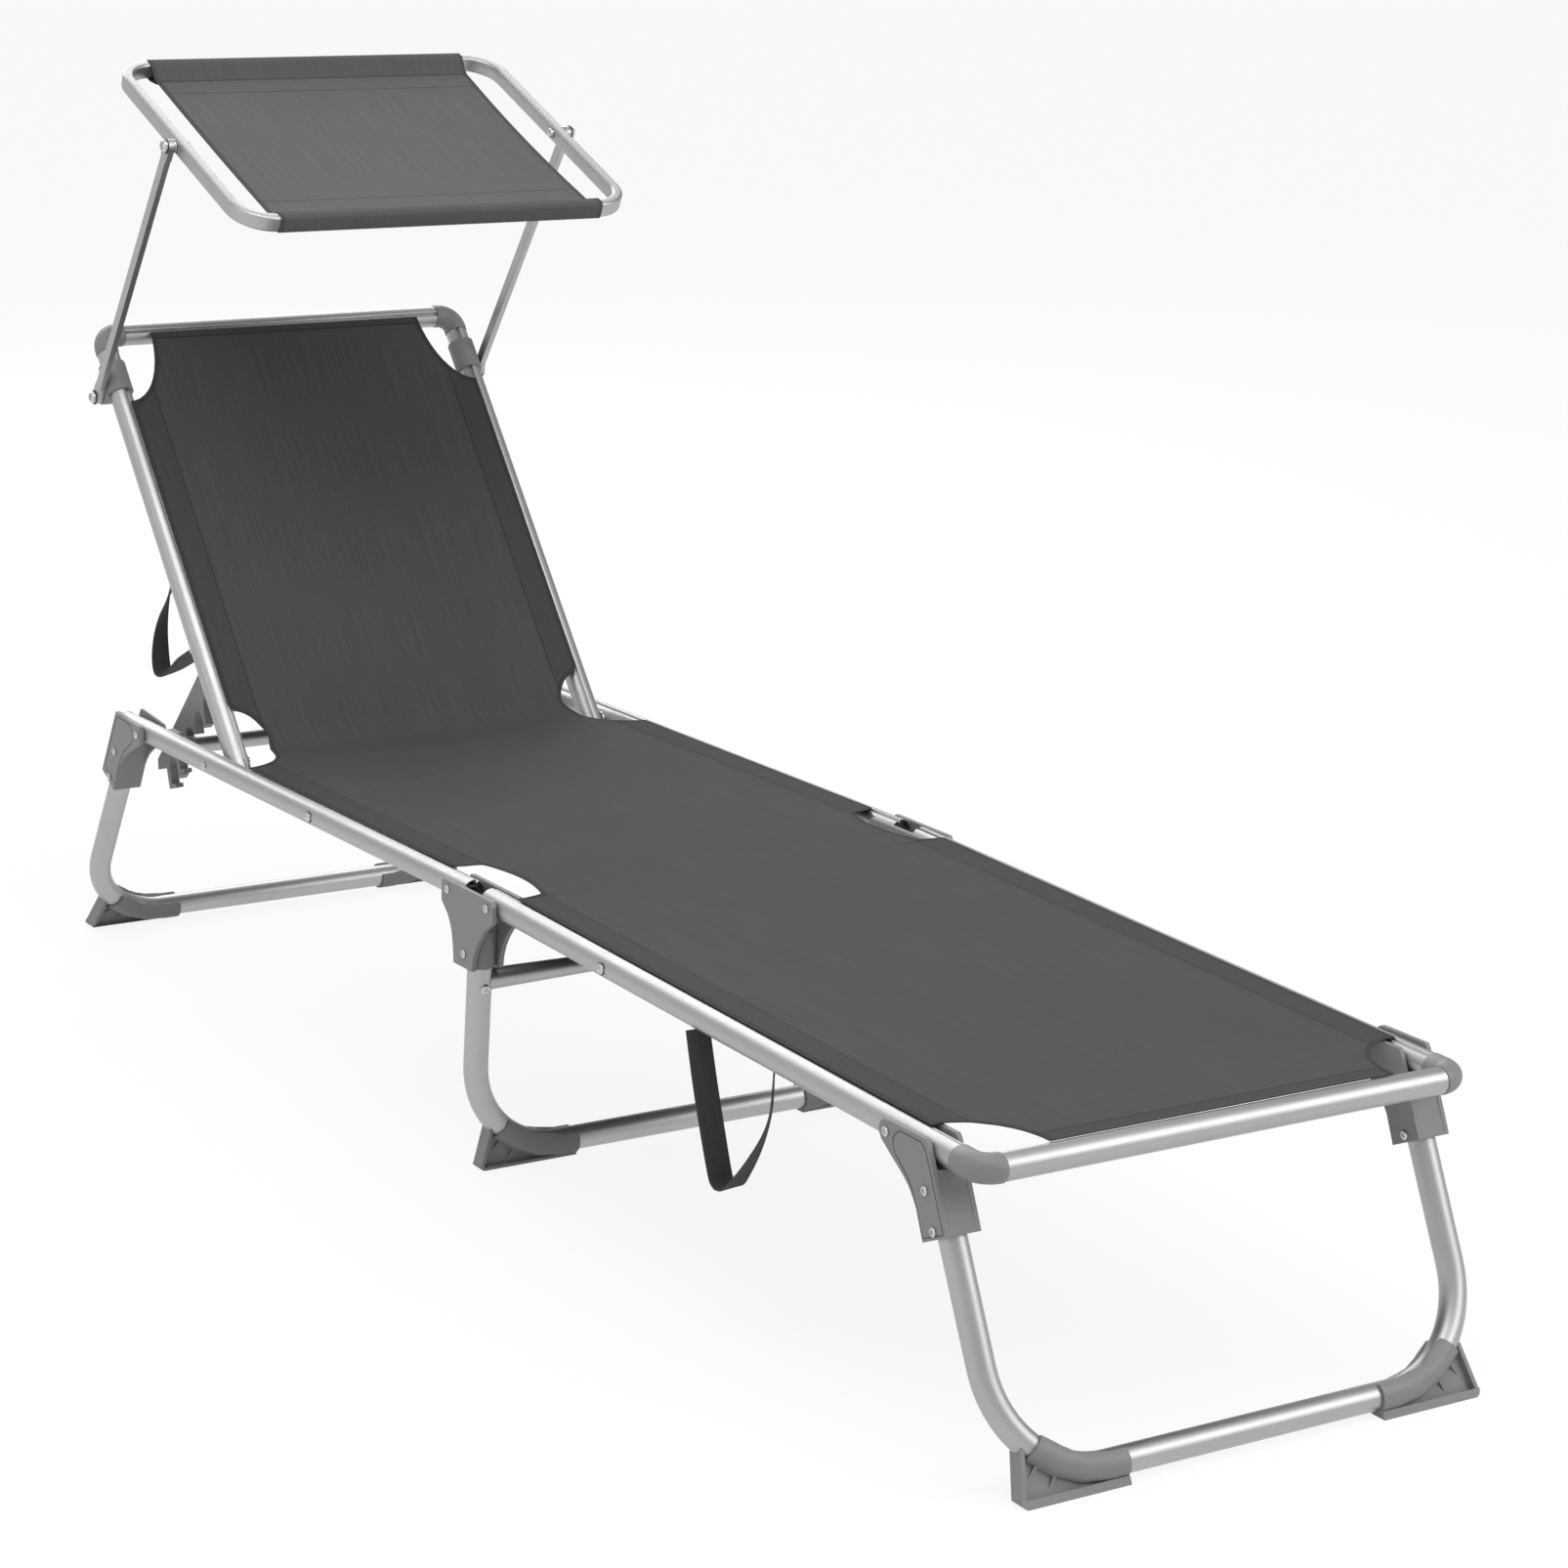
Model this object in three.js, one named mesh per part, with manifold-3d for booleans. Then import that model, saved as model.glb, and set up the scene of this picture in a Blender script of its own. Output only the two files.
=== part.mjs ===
// Folding sun lounger with a canopy: aluminium tube frame, plastic joints and feet, stretched fabric.
// Millimetres, +X across the lounger, +Y towards the head end, +Z up, origin on the ground under the middle.
// Left and right are as seen from the foot end. Each body of the mechanism is a group placed at its pivot.

import * as THREE from 'three';
import { mergeVertices } from 'three/addons/utils/BufferGeometryUtils.js';
import Module from 'manifold-3d';

const wasm = await Module();
wasm.setup();

// Frame: the two side rails bend slightly at the middle hinge
const railHalfGauge = 255;
const tubeDiameter = 25;
const tubeWall = 1.2;
const midHeight = 293;
const frontHeight = 276;
const headHeight = 285;
const frontSpan = 811;
const headSpan = 818;
const hingeSpacing = 80;
const railStub = 22;

// Backrest, measured along its own tubes from the pivot bolt
const backrestPlace = 583;
const backrestAngle = 50.7;
const backrestHalfGauge = 226.5;
const backrestLength = 551;
const backrestTail = 14;

// Legs: each is a bent tube that hangs from a bracket riveted under the rails
const frontLegPlace = 697;
const rearLegPlace = 753;
const frontLean = 25.6;
const rearLean = 30.4;
const midLean = 4.2;
const legOffset = 38;
const legBend = 100;
const groundBarHeight = 16;
const legTop = 48;
const midLegTop = 36;
const stretcherRadius = 9;
const stretcherEndRadius = 11;
const stretcherTaper = 110;
const stretcherDrop = 88;

// Canopy and its two struts
const strutInset = 69;
const strutDrop = 18;
const strutAngle = 125;
const strutLength = 370;
const strutInner = 243.4;
const strutThickness = 7;
const strutWidth = 12;
const strutTab = 7.5;
const strutTabLength = 16.5;
const canopyAngle = 22.1;
const canopyHalfWidth = 240.4;
const canopyRearReach = 185;
const canopyFrontReach = 182.5;
const canopyTubeWidth = 12;
const canopyTubeDepth = 18;
const canopyTubeEdge = 3.5;
const canopyTubeWall = 1.2;
const canopyCorner = 45;
const canopyFabricHalfWidth = 195;
const sleeveGap = 0.5;

// Rack: toothed arms on the backrest that catch the cross bar
const crossBarPlace = 735;
const crossBarDrop = 14.3;
const crossBarDiameter = 20;
const crossBarWall = 1.2;
const cradleWidth = 12;
const holderLength = 24;
const holderDepth = 6;
const holderRise = 10;
const holderWall = 3;
const rackPinPlace = 135;
const rackPinDrop = 4;
const rackPitch = 33.4;
const rackRowAngle = -43.5;
const rackSlotAngle = 18;
const rackSlotWidth = 21.5;
const rackThickness = 10;
const rackSpine = 41;
const rackLift = 10;
const rackStem = 8.6;
const rackStub = 25;
const rackHook = 9.5;
const rackFoot = 5;
const rackFloor = 20;
const rackBoss = 9;
const rackSlotReach = 67;
const rackGap = 0.6;
const barClearance = 1.2;
const rackPegRadius = 4;
const rackPegLength = 6;
const rackPegGap = 0.6;
const rackPockets = 5;
const rackPocketsBeforeRest = 2;
const backrestTravel = 48;
const backrestRest = 3.26;
const rackTurnShare = 0.82;

// Plastic brackets and elbows
const plateThickness = 5;
const plateGap = 0.4;
const housingWall = 3.2;
const rearBracketExtra = 7;
const elbowRadius = 13.3;
const frontElbowReach = 31;
const frontElbowBend = 17;
const topElbowReach = 24;
const topElbowBend = 18;
const spigotDepth = 16;
const clampRadius = 15.5;
const clampBelow = 8;
const clampAbove = 29;
const clampLugRadius = 9;

// Fasteners
const pinRadius = 3;
const headRadius = 4.6;
const collarRadius = 7.5;
const headDepth = 1.8;
const boltHeadRadius = 6;
const boltHeadDepth = 6;
const holeClearance = 0.3;
const seatGap = 0.3;

// Feet
const footHalfWidth = 249.5;
const footTopHalfWidth = 239.5;
const footRise = 29;
const footDepth = 17;
const footWall = 4;
const footWeb = 5;
const footCorner = 6;
const footSleeve = 3;
const footSleeveEnd = 138;
const footOpening = 10;
const footRibAngles = [51, 61];
const footRibReach = 26;
const footRibWall = 3;
const footRibEnd = 5;

// Fabric and webbing
const fabricThickness = 1.6;
const fabricInset = 3;
const hingeSheetGap = 0.5;
const hingeCutDepth = 32;
const hingeCutLength = 29;
const frontCut = 67;
const frontCutLength = 76;
const seatCut = 56;
const seatCutLength = 68;
const seatFabricEnd = 567;
const backFabricStart = 12;
const backCut = 35;
const backCutLength = 44;
const topCut = 51;
const topCutLength = 98;
const webbingWidth = 25;
const webbingThickness = 2;
const strapGap = 0.6;
const frontStrapPlace = -420;
const frontStrapHalf = 68;
const frontStrapDrop = 150;
const backStrapPlace = 192;
const backStrapInset = 6;
const backStrapWidth = 20;
const backStrapHalf = 46;
const backStrapDrop = 118;

// Cutters and facets
const overrun = 5;
const cutterSize = 600;
const roundSides = 16;
const smallSides = 8;
const edgeSteps = 1;
const bendSteps = 6;
const cornerSteps = 4;
const webbingSteps = 12;
const sweepSteps = 8;

const tubeRadius = tubeDiameter / 2;
const tubeBore = tubeRadius - tubeWall;
const crossBarRadius = crossBarDiameter / 2;
const strutPlace = backrestLength - strutInset;
const clampLow = strutPlace - clampBelow;
const clampHigh = strutPlace + clampAbove;
const plateInner = tubeRadius + plateGap;
const plateOuter = plateInner + plateThickness;
const fabricRise = tubeRadius + seatGap;
const strapTop = -tubeRadius - strapGap;
const degrees = THREE.MathUtils.degToRad;
const frontSlope = Math.asin((midHeight - frontHeight) / frontSpan);
const headSlope = Math.asin((midHeight - headHeight) / headSpan);

const aluminium = { color: 0xc9cbcd, roughness: 0.38, metalness: 0.9 };
const steel = { color: 0xb4b6b9, roughness: 0.3, metalness: 1 };
const plastic = { color: 0x6b6d70, roughness: 0.6, metalness: 0 };
const fabric = { color: 0x4c4d4f, roughness: 0.9, metalness: 0 };
const webbing = { color: 0x3f4042, roughness: 0.85, metalness: 0 };

// Closed meshes, joins and cuts
function toSolid(geometry) {
  const bare = geometry.index ? geometry.toNonIndexed() : geometry.clone();
  bare.deleteAttribute('normal');
  bare.deleteAttribute('uv');
  const merged = mergeVertices(bare);
  const vertProperties = new Float32Array(merged.attributes.position.array);
  const triVerts = new Uint32Array(merged.index.array);
  return new wasm.Manifold(new wasm.Mesh({ numProp: 3, vertProperties, triVerts }));
}

function toGeometry(solid) {
  const mesh = solid.getMesh();
  const geometry = new THREE.BufferGeometry();
  geometry.setAttribute('position', new THREE.BufferAttribute(mesh.vertProperties, 3));
  geometry.setIndex(new THREE.BufferAttribute(mesh.triVerts, 1));
  return geometry;
}

function fuse(...geometries) {
  const solids = geometries.map(toSolid);
  return toGeometry(solids.reduce((whole, next) => whole.add(next)));
}

function carve(geometry, ...cutters) {
  return toGeometry(cutters.reduce((rest, cutter) => rest.subtract(toSolid(cutter)), toSolid(geometry)));
}

// Solids along the three axes
const sideTurn = new THREE.Matrix4().makeBasis(
  new THREE.Vector3(0, 1, 0), new THREE.Vector3(0, 0, 1), new THREE.Vector3(1, 0, 0));
const lengthTurn = new THREE.Matrix4().makeBasis(
  new THREE.Vector3(1, 0, 0), new THREE.Vector3(0, 0, 1), new THREE.Vector3(0, -1, 0));

function extrude(shape, depth, curveSegments) {
  return new THREE.ExtrudeGeometry(shape, { depth, bevelEnabled: false, curveSegments });
}

// A shape drawn in Y and Z, made solid from one X to another
function acrossSolid(shape, low, high, segments = smallSides) {
  return extrude(shape, high - low, segments).applyMatrix4(sideTurn).translate(low, 0, 0);
}

// A shape drawn in X and Z, made solid from one Y to another
function lengthSolid(shape, low, high, segments = smallSides) {
  return extrude(shape, high - low, segments).applyMatrix4(lengthTurn).translate(0, high, 0);
}

// A shape drawn in X and Y, made solid from one Z to another
function flatSolid(shape, low, high, segments = smallSides) {
  return extrude(shape, high - low, segments).translate(0, 0, low);
}

function disc(radius, a = 0, b = 0) {
  return new THREE.Shape().absarc(a, b, radius, 0, 2 * Math.PI);
}

function ring(outer, inner) {
  const shape = disc(outer);
  shape.holes.push(new THREE.Path().absarc(0, 0, inner, 0, 2 * Math.PI, true));
  return shape;
}

function polygon(points) {
  return new THREE.Shape(points.map(([a, b]) => new THREE.Vector2(a, b)));
}

function box(low, high) {
  const size = high.map((value, i) => value - low[i]);
  const middle = high.map((value, i) => (value + low[i]) / 2);
  return new THREE.BoxGeometry(...size).translate(...middle);
}

function acrossRod(radius, low, high, y, z, sides = smallSides) {
  return acrossSolid(disc(radius), low, high, sides / 2).translate(0, y, z);
}

// A straight tube along local Y, cut by rods that run across it
function railTube(low, high, holes = [], radius = tubeRadius, bore = tubeBore) {
  const tube = lengthSolid(ring(radius, bore), low, high, roundSides / 2);
  const cutters = holes.map((place) =>
    acrossRod(pinRadius + holeClearance, -radius - overrun, radius + overrun, place, 0));
  return holes.length ? carve(tube, ...cutters) : tube;
}

// A path of straight runs and round bends, sampled only where it bends
class BentPath extends THREE.Curve {
  constructor(corners, bend, steps = bendSteps) {
    super();
    this.samples = [];
    corners.forEach((corner, i) => {
      if (i === 0 || i === corners.length - 1) {
        const other = corners[i === 0 ? 1 : i - 1];
        const along = other.clone().sub(corner).normalize().multiplyScalar(i === 0 ? 1 : -1);
        this.samples.push({ point: corner, along });
        return;
      }
      const into = corner.clone().sub(corners[i - 1]).normalize();
      const out = corners[i + 1].clone().sub(corner).normalize();
      const turn = into.angleTo(out);
      const setback = bend * Math.tan(turn / 2);
      const inward = out.clone().sub(into).normalize();
      const centre = corner.clone().addScaledVector(inward, bend / Math.cos(turn / 2));
      const axis = into.clone().cross(out).normalize();
      const arm = corner.clone().addScaledVector(into, -setback).sub(centre);
      for (let k = 0; k <= steps; k += 1) {
        const angle = turn * k / steps;
        this.samples.push({
          point: arm.clone().applyAxisAngle(axis, angle).add(centre),
          along: into.clone().applyAxisAngle(axis, angle),
        });
      }
    });
  }

  pick(t, key) {
    const place = t * (this.samples.length - 1);
    const low = Math.min(Math.floor(place), this.samples.length - 2);
    return this.samples[low][key].clone().lerp(this.samples[low + 1][key], place - low);
  }

  getPoint(t) {
    return this.pick(t, 'point');
  }

  getPointAt(t) {
    return this.pick(t, 'point');
  }

  getTangent(t) {
    return this.pick(t, 'along').normalize();
  }

  getTangentAt(t) {
    return this.getTangent(t);
  }

  sweep(shape, curveSegments) {
    const steps = this.samples.length - 1;
    const options = { steps, extrudePath: this, bevelEnabled: false, curveSegments };
    return new THREE.ExtrudeGeometry(shape, options);
  }
}

const at = (x, y, z) => new THREE.Vector3(x, y, z);

// A rivet or bolt across the lounger, with a domed head at each end that has one and a spacer collar if given
function sidePin(side, inner, outer, y, z, options = {}) {
  const { headInner = 0, headOuter = 0, depth = headDepth, collar = null } = options;
  const points = [new THREE.Vector2(0, inner - (headInner ? depth : 0))];
  if (headInner) {
    points.push(new THREE.Vector2(headInner / 2, inner - depth));
    points.push(new THREE.Vector2(headInner, inner - depth / 2));
    points.push(new THREE.Vector2(headInner, inner));
  }
  points.push(new THREE.Vector2(pinRadius, inner));
  if (collar) {
    points.push(new THREE.Vector2(pinRadius, collar[0]));
    points.push(new THREE.Vector2(collarRadius, collar[0]));
    points.push(new THREE.Vector2(collarRadius, collar[1]));
    points.push(new THREE.Vector2(pinRadius, collar[1]));
  }
  points.push(new THREE.Vector2(pinRadius, outer));
  if (headOuter) {
    points.push(new THREE.Vector2(headOuter, outer));
    points.push(new THREE.Vector2(headOuter, outer + depth / 2));
    points.push(new THREE.Vector2(headOuter / 2, outer + depth));
  }
  points.push(new THREE.Vector2(0, outer + (headOuter ? depth : 0)));
  const turned = new THREE.LatheGeometry(points, smallSides);
  return turned.rotateZ(-side * Math.PI / 2).translate(0, y, z);
}

function mirrored(side, low, high) {
  return side < 0 ? [-high, -low] : [low, high];
}

const sides = [[-1, 'left'], [1, 'right']];

function add(group, name, geometry, look) {
  const mesh = new THREE.Mesh(geometry, new THREE.MeshStandardMaterial(look));
  mesh.name = name;
  group.add(mesh);
  return mesh;
}

function body(parent, name, y, z, turn) {
  const group = new THREE.Group();
  group.name = name;
  group.position.set(0, y, z);
  group.rotation.x = turn;
  parent.add(group);
  return group;
}

// Corner foot: a sleeve open on the bend's inner side, and a gusset with a rim, a web and short ribs below it
function foot(side, length, lean, out) {
  const groundAt = length + groundBarHeight / Math.cos(lean);
  const bendFrom = length - legBend;
  const corner = at(side * railHalfGauge, 0, -length);
  const start = at(side * railHalfGauge, 0, -bendFrom / 2);
  const centreX = side * (railHalfGauge - legBend);
  const top = length - footRise;
  const low = -groundAt - footDepth;
  const startAngle = Math.asin((top - bendFrom) / legBend);
  const topX = centreX + side * legBend * Math.cos(startAngle);
  const sleevePath = new BentPath([start, corner, at(side * footSleeveEnd, 0, -length)], legBend);
  const sleeve = sleevePath.sweep(disc(tubeRadius + footSleeve), smallSides);
  const trim = new THREE.BoxGeometry(cutterSize, cutterSize, cutterSize).translate(0, 0, cutterSize / 2);
  trim.rotateY(side * (Math.PI / 2 - startAngle)).translate(topX, 0, -top);
  const [openLow, openHigh] = mirrored(side, footSleeveEnd - overrun, railHalfGauge - legBend);
  const insideBend = fuse(
    lengthSolid(disc(legBend - footOpening, centreX, -bendFrom), -tubeDiameter, tubeDiameter),
    box([openLow, -tubeDiameter, -length + footOpening], [openHigh, tubeDiameter, -bendFrom]));
  const trimmedSleeve = carve(sleeve, trim, insideBend);
  const spread = (footHalfWidth - footTopHalfWidth) / (groundAt - top);
  const lowHalf = footHalfWidth + spread * footDepth;
  const rim = fuse(
    lengthSolid(polygon([[side * footTopHalfWidth, -top], [side * lowHalf, low],
      [side * (lowHalf - footWall), low], [side * (footTopHalfWidth - footWall), -top]]),
    -footDepth / 2, footDepth / 2),
    lengthSolid(polygon([[side * lowHalf, low], [side * footSleeveEnd, low],
      [side * footSleeveEnd, -groundAt + footWall], [side * footHalfWidth, -groundAt + footWall]]),
    -footDepth / 2, footDepth / 2));
  const web = lengthSolid(polygon([[side * footTopHalfWidth, -top], [side * lowHalf, low],
    [side * footSleeveEnd, low], [side * footSleeveEnd, -length], [topX, -top]]), -footWeb / 2, footWeb / 2);
  const ribFrom = legBend + footWall;
  const ribs = footRibAngles.map((angle) => {
    const turn = side > 0 ? degrees(angle) : Math.PI - degrees(angle);
    return flatSolid(polygon([[ribFrom, -footDepth / 2], [legBend + footRibReach, -footRibEnd / 2],
      [legBend + footRibReach, footRibEnd / 2], [ribFrom, footDepth / 2]]), -footRibWall / 2, footRibWall / 2)
      .rotateY(turn).translate(centreX, 0, -bendFrom);
  });
  const rounding = [[footHalfWidth + overrun, -overrun], [footHalfWidth + overrun, footCorner]];
  for (let i = 0; i <= cornerSteps; i += 1) {
    const turn = i / cornerSteps * Math.PI / 2;
    rounding.push([footHalfWidth - footCorner * (1 - Math.cos(turn)), footCorner * (1 - Math.sin(turn))]);
  }
  rounding.push([footHalfWidth - footCorner, -overrun]);
  const cornerCut = lengthSolid(polygon(rounding.map(([x, z]) => [side * x, z])), -tubeDiameter, tubeDiameter)
    .rotateX(-out * lean).translate(0, 0, -groundAt);
  const below = new THREE.BoxGeometry(cutterSize, cutterSize, cutterSize)
    .translate(0, 0, -cutterSize / 2).rotateX(-out * lean).translate(0, 0, -groundAt);
  const bore = new BentPath([start, corner, at(0, 0, -length)], legBend)
    .sweep(disc(tubeRadius + holeClearance), smallSides);
  return carve(fuse(trimmedSleeve, rim, web, ...ribs), bore, cornerCut, below);
}

// Bent leg tube with its two feet, drawn down local -Z from the pivot
function legTubeAndFeet(group, name, offset, length, top, lean, out) {
  const path = new BentPath([at(-railHalfGauge, 0, -top), at(-railHalfGauge, 0, -length),
    at(railHalfGauge, 0, -length), at(railHalfGauge, 0, -top)], legBend);
  const frame = body(group, '', 0, 0, out * lean);
  const shifted = body(frame, '', out * offset, 0, 0);
  add(shifted, `${name}_leg_tube`, path.sweep(ring(tubeRadius, tubeBore), roundSides / 2), aluminium);
  for (const [side, word] of sides) {
    add(shifted, `${word}_${name}_foot`, foot(side, length, lean, out), plastic);
  }
}

function legLength(pivotHeight, offset, lean) {
  return (pivotHeight - groundBarHeight + offset * Math.sin(lean)) / Math.cos(lean);
}

// Outline of a leg bracket's plates, outwards and up from the rivet, in shares of the tube's diameter
const bracketTopShares = [[-0.44, 0.06], [-0.34, 0.27], [-0.12, 0.42], [0.14, 0.44],
  [2.3, 0.44], [2.42, 0.3]];
const bracketFootShares = [[3.71, -2.58], [2.36, -3.2]];
const bracketCurveShares = [[2.14, -2.63], [1.94, -2.18], [1.7, -1.83], [1.42, -1.49], [1.05, -1.2],
  [0.67, -0.95], [0.33, -0.75], [0.03, -0.54], [-0.28, -0.34], [-0.42, -0.12]];
const bracketBlockShares = [[1.2, -0.45], [2.62, -0.45], [2.72, -0.5]];
const bracketBottomShare = 3.92;

function legBracket(side, out, lean, longer, offset, top, slope, underFabric) {
  const tilt = lean - degrees(frontLean);
  const lower = [longer * Math.sin(degrees(frontLean)), -longer * Math.cos(degrees(frontLean))];
  const feet = bracketFootShares.map(([a, b]) => [a + lower[0] / tubeDiameter, b + lower[1] / tubeDiameter]);
  const drawn = (shares) => polygon(shares.map(([a, b]) => [out * a * tubeDiameter, b * tubeDiameter]));
  const middle = side * railHalfGauge;
  const plates = [[plateInner, plateOuter], [-plateOuter, -plateInner]].map(([low, high]) =>
    acrossSolid(drawn([...bracketTopShares, ...feet, ...bracketCurveShares]), middle + low, middle + high));
  const block = acrossSolid(drawn([...bracketBlockShares, ...feet]),
    middle - plateOuter, middle + plateOuter);
  [...plates, block].forEach((piece) => piece.rotateX(out * tilt));
  const bottom = bracketBottomShare * tubeDiameter + longer;
  const railSpace = box([middle - plateInner, -rearLegPlace, -plateInner],
    [middle + plateInner, rearLegPlace, tubeDiameter]).rotateX(-slope);
  const bore = flatSolid(disc(tubeRadius + holeClearance), -bottom - overrun, -top + seatGap, roundSides / 2)
    .translate(middle, out * offset, 0).rotateX(out * lean);
  const pinHole = acrossRod(pinRadius + holeClearance, middle - plateOuter - overrun,
    middle + plateOuter + overrun, 0, 0);
  const solid = carve(fuse(...plates, block), railSpace, bore, pinHole);
  if (underFabric) {
    const [low, high] = mirrored(side, railHalfGauge - plateOuter - overrun, railHalfGauge);
    const fabricSpace = box([low, -frontSpan, fabricRise - seatGap], [high, frontSpan, tubeDiameter])
      .rotateX(-slope);
    return carve(solid, fabricSpace);
  }
  const [tubeLow, tubeHigh] = mirrored(side, 0, sunkHeadAt - headDepth);
  const backTubeSpace = box([tubeLow, -headSpan, -bottom - overrun], [tubeHigh, headSpan, tubeDiameter]);
  const [headLow, headHigh] = mirrored(side, backrestHalfGauge, sunkHeadAt + seatGap);
  const headSpace = acrossRod(headRadius + 2 * holeClearance, headLow, headHigh, 0, 0);
  return carve(solid, backTubeSpace, headSpace);
}

// Rivet through a bracket and its rail. The rear ones pass the lowered backrest: their inner plates are
// thinner, and their inner heads are sunk in them.
const sunkHeadAt = backrestHalfGauge + tubeRadius + seatGap + headDepth;

function pivotRivet(side, y, sunk = false) {
  const inner = sunk ? sunkHeadAt : railHalfGauge - plateOuter - seatGap;
  return sidePin(side, inner, railHalfGauge + plateOuter + seatGap, y, 0,
    { headInner: headRadius, headOuter: headRadius });
}

function outerLeg(parent, name, place, lean, longer, out, pivotHeight, slope, underFabric) {
  const group = body(parent, `${name}_leg`, place, 0, slope);
  const length = legLength(pivotHeight, legOffset, lean);
  legTubeAndFeet(group, name, legOffset, length, legTop, lean, out);
  for (const [side, word] of sides) {
    add(group, `${word}_${name}_bracket`,
      legBracket(side, out, lean, longer, legOffset, legTop, slope, underFabric), plastic);
    add(group, `${word}_${name}_leg_rivet`, pivotRivet(side, 0, !underFabric), steel);
  }
}

// A panel of fabric with an elliptical cut at each corner, drawn in X and Y
function panel(half, low, high, [lowCut, lowCutLength], [highCut, highCutLength]) {
  const shape = new THREE.Shape();
  shape.moveTo(-half + lowCut, low);
  shape.lineTo(half - lowCut, low);
  shape.absellipse(half, low, lowCut, lowCutLength, Math.PI, Math.PI / 2, true);
  shape.lineTo(half, high - highCutLength);
  shape.absellipse(half, high, highCut, highCutLength, -Math.PI / 2, -Math.PI, true);
  shape.lineTo(-half + highCut, high);
  shape.absellipse(-half, high, highCut, highCutLength, 0, -Math.PI / 2, true);
  shape.lineTo(-half, low + lowCutLength);
  shape.absellipse(-half, low, lowCut, lowCutLength, Math.PI / 2, 0, true);
  return flatSolid(shape, fabricRise, fabricRise + fabricThickness);
}

// Corner elbow between two tubes, with spigots that go into them
function elbow(first, corner, last, bend) {
  const reachFrom = first.clone().sub(corner).normalize().multiplyScalar(spigotDepth).add(first);
  const reachTo = last.clone().sub(corner).normalize().multiplyScalar(spigotDepth).add(last);
  const shell = new BentPath([first, corner, last], bend, cornerSteps)
    .sweep(disc(elbowRadius), roundSides / 2);
  const spigot = new BentPath([reachFrom, corner, reachTo], bend, cornerSteps)
    .sweep(disc(tubeBore - holeClearance), smallSides / 2);
  return fuse(shell, spigot);
}

// Flat webbing along a smooth curve drawn in Y and Z
function webbingBand(points, middle, width) {
  const curve = new THREE.SplineCurve(points.map(([a, b]) => new THREE.Vector2(a, b)));
  const outer = [];
  const inner = [];
  for (let i = 0; i <= webbingSteps; i += 1) {
    const point = curve.getPointAt(i / webbingSteps);
    const along = curve.getTangentAt(i / webbingSteps);
    const across = new THREE.Vector2(-along.y, along.x).multiplyScalar(webbingThickness / 2);
    outer.push(point.clone().add(across));
    inner.unshift(point.clone().sub(across));
  }
  return acrossSolid(new THREE.Shape([...outer, ...inner]), middle - width / 2, middle + width / 2);
}

// A hanging loop of webbing: shares of its half length along the tube and of its drop below it
function strapLoop(shares, place, half, drop, middle, width) {
  const points = shares.map(([a, b]) => [place + a * half, strapTop - b * (drop + strapTop)]);
  return webbingBand(points, middle, width);
}

const lounger = new THREE.Group();
const seat = body(lounger, 'seat_frame', 0, midHeight, -headSlope);
const sheetHalfWidth = railHalfGauge - fabricInset;

// Seat section: rear rails, cross bar, fabric and fixed fasteners
for (const [side, word] of sides) {
  const rail = railTube(-railStub, headSpan, [0, backrestPlace, rearLegPlace]);
  add(seat, `${word}_rear_rail`, rail.translate(side * railHalfGauge, 0, 0), aluminium);
}

// Holders of the cross bar: a plate on the rail's inner side, and a cradle below the bar clear of the leg
const crossBarEnd = railHalfGauge - plateOuter - seatGap;
const cradleHigh = crossBarEnd - seatGap;
const cradleLow = cradleHigh - cradleWidth;
const plateBack = crossBarPlace - crossBarRadius - holeClearance;
const crossBar = acrossSolid(ring(crossBarRadius, crossBarRadius - crossBarWall), -crossBarEnd, crossBarEnd,
  roundSides / 2);
add(seat, 'cross_bar', crossBar.translate(0, crossBarPlace, -crossBarDrop), aluminium);
for (const [side, word] of sides) {
  const [webLow, webHigh] = mirrored(side, backrestHalfGauge + tubeRadius + seatGap, railHalfGauge);
  const [bridgeLow, bridgeHigh] = mirrored(side, cradleLow, railHalfGauge);
  const web = fuse(box([webLow, plateBack - holderLength, -holderDepth], [webHigh, plateBack, holderRise]),
    box([bridgeLow, plateBack - holderLength, -holderDepth], [bridgeHigh, plateBack, 0]));
  const [low, high] = mirrored(side, cradleLow, cradleHigh);
  const cradle = fuse(
    box([low, plateBack - holderLength, -crossBarDrop - crossBarRadius],
      [high, plateBack, -holderDepth + overrun]),
    acrossRod(crossBarRadius + holderWall, low, high, crossBarPlace, -crossBarDrop, roundSides));
  const aboveBar = box([low - overrun, crossBarPlace - crossBarRadius, -crossBarDrop + holderWall],
    [high + overrun, crossBarPlace + tubeDiameter, holderRise]);
  const railSpace = lengthSolid(disc(tubeRadius + seatGap), 0, headSpan, roundSides / 2)
    .translate(side * railHalfGauge, 0, 0);
  const backTubeSpace = lengthSolid(disc(tubeRadius + seatGap), 0, headSpan, roundSides / 2)
    .rotateX(degrees(backrestRest)).translate(side * backrestHalfGauge, backrestPlace, 0);
  const barSpace = acrossRod(crossBarRadius + holeClearance, low - overrun, high + overrun,
    crossBarPlace, -crossBarDrop, roundSides);
  add(seat, `${word}_cross_bar_holder`,
    carve(fuse(web, carve(cradle, aboveBar)), railSpace, backTubeSpace, barSpace), plastic);
}

const hingeCuts = [hingeCutDepth, hingeCutLength];
add(seat, 'seat_fabric', panel(sheetHalfWidth, 0, seatFabricEnd, hingeCuts, [seatCut, seatCutLength]),
  fabric);

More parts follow.
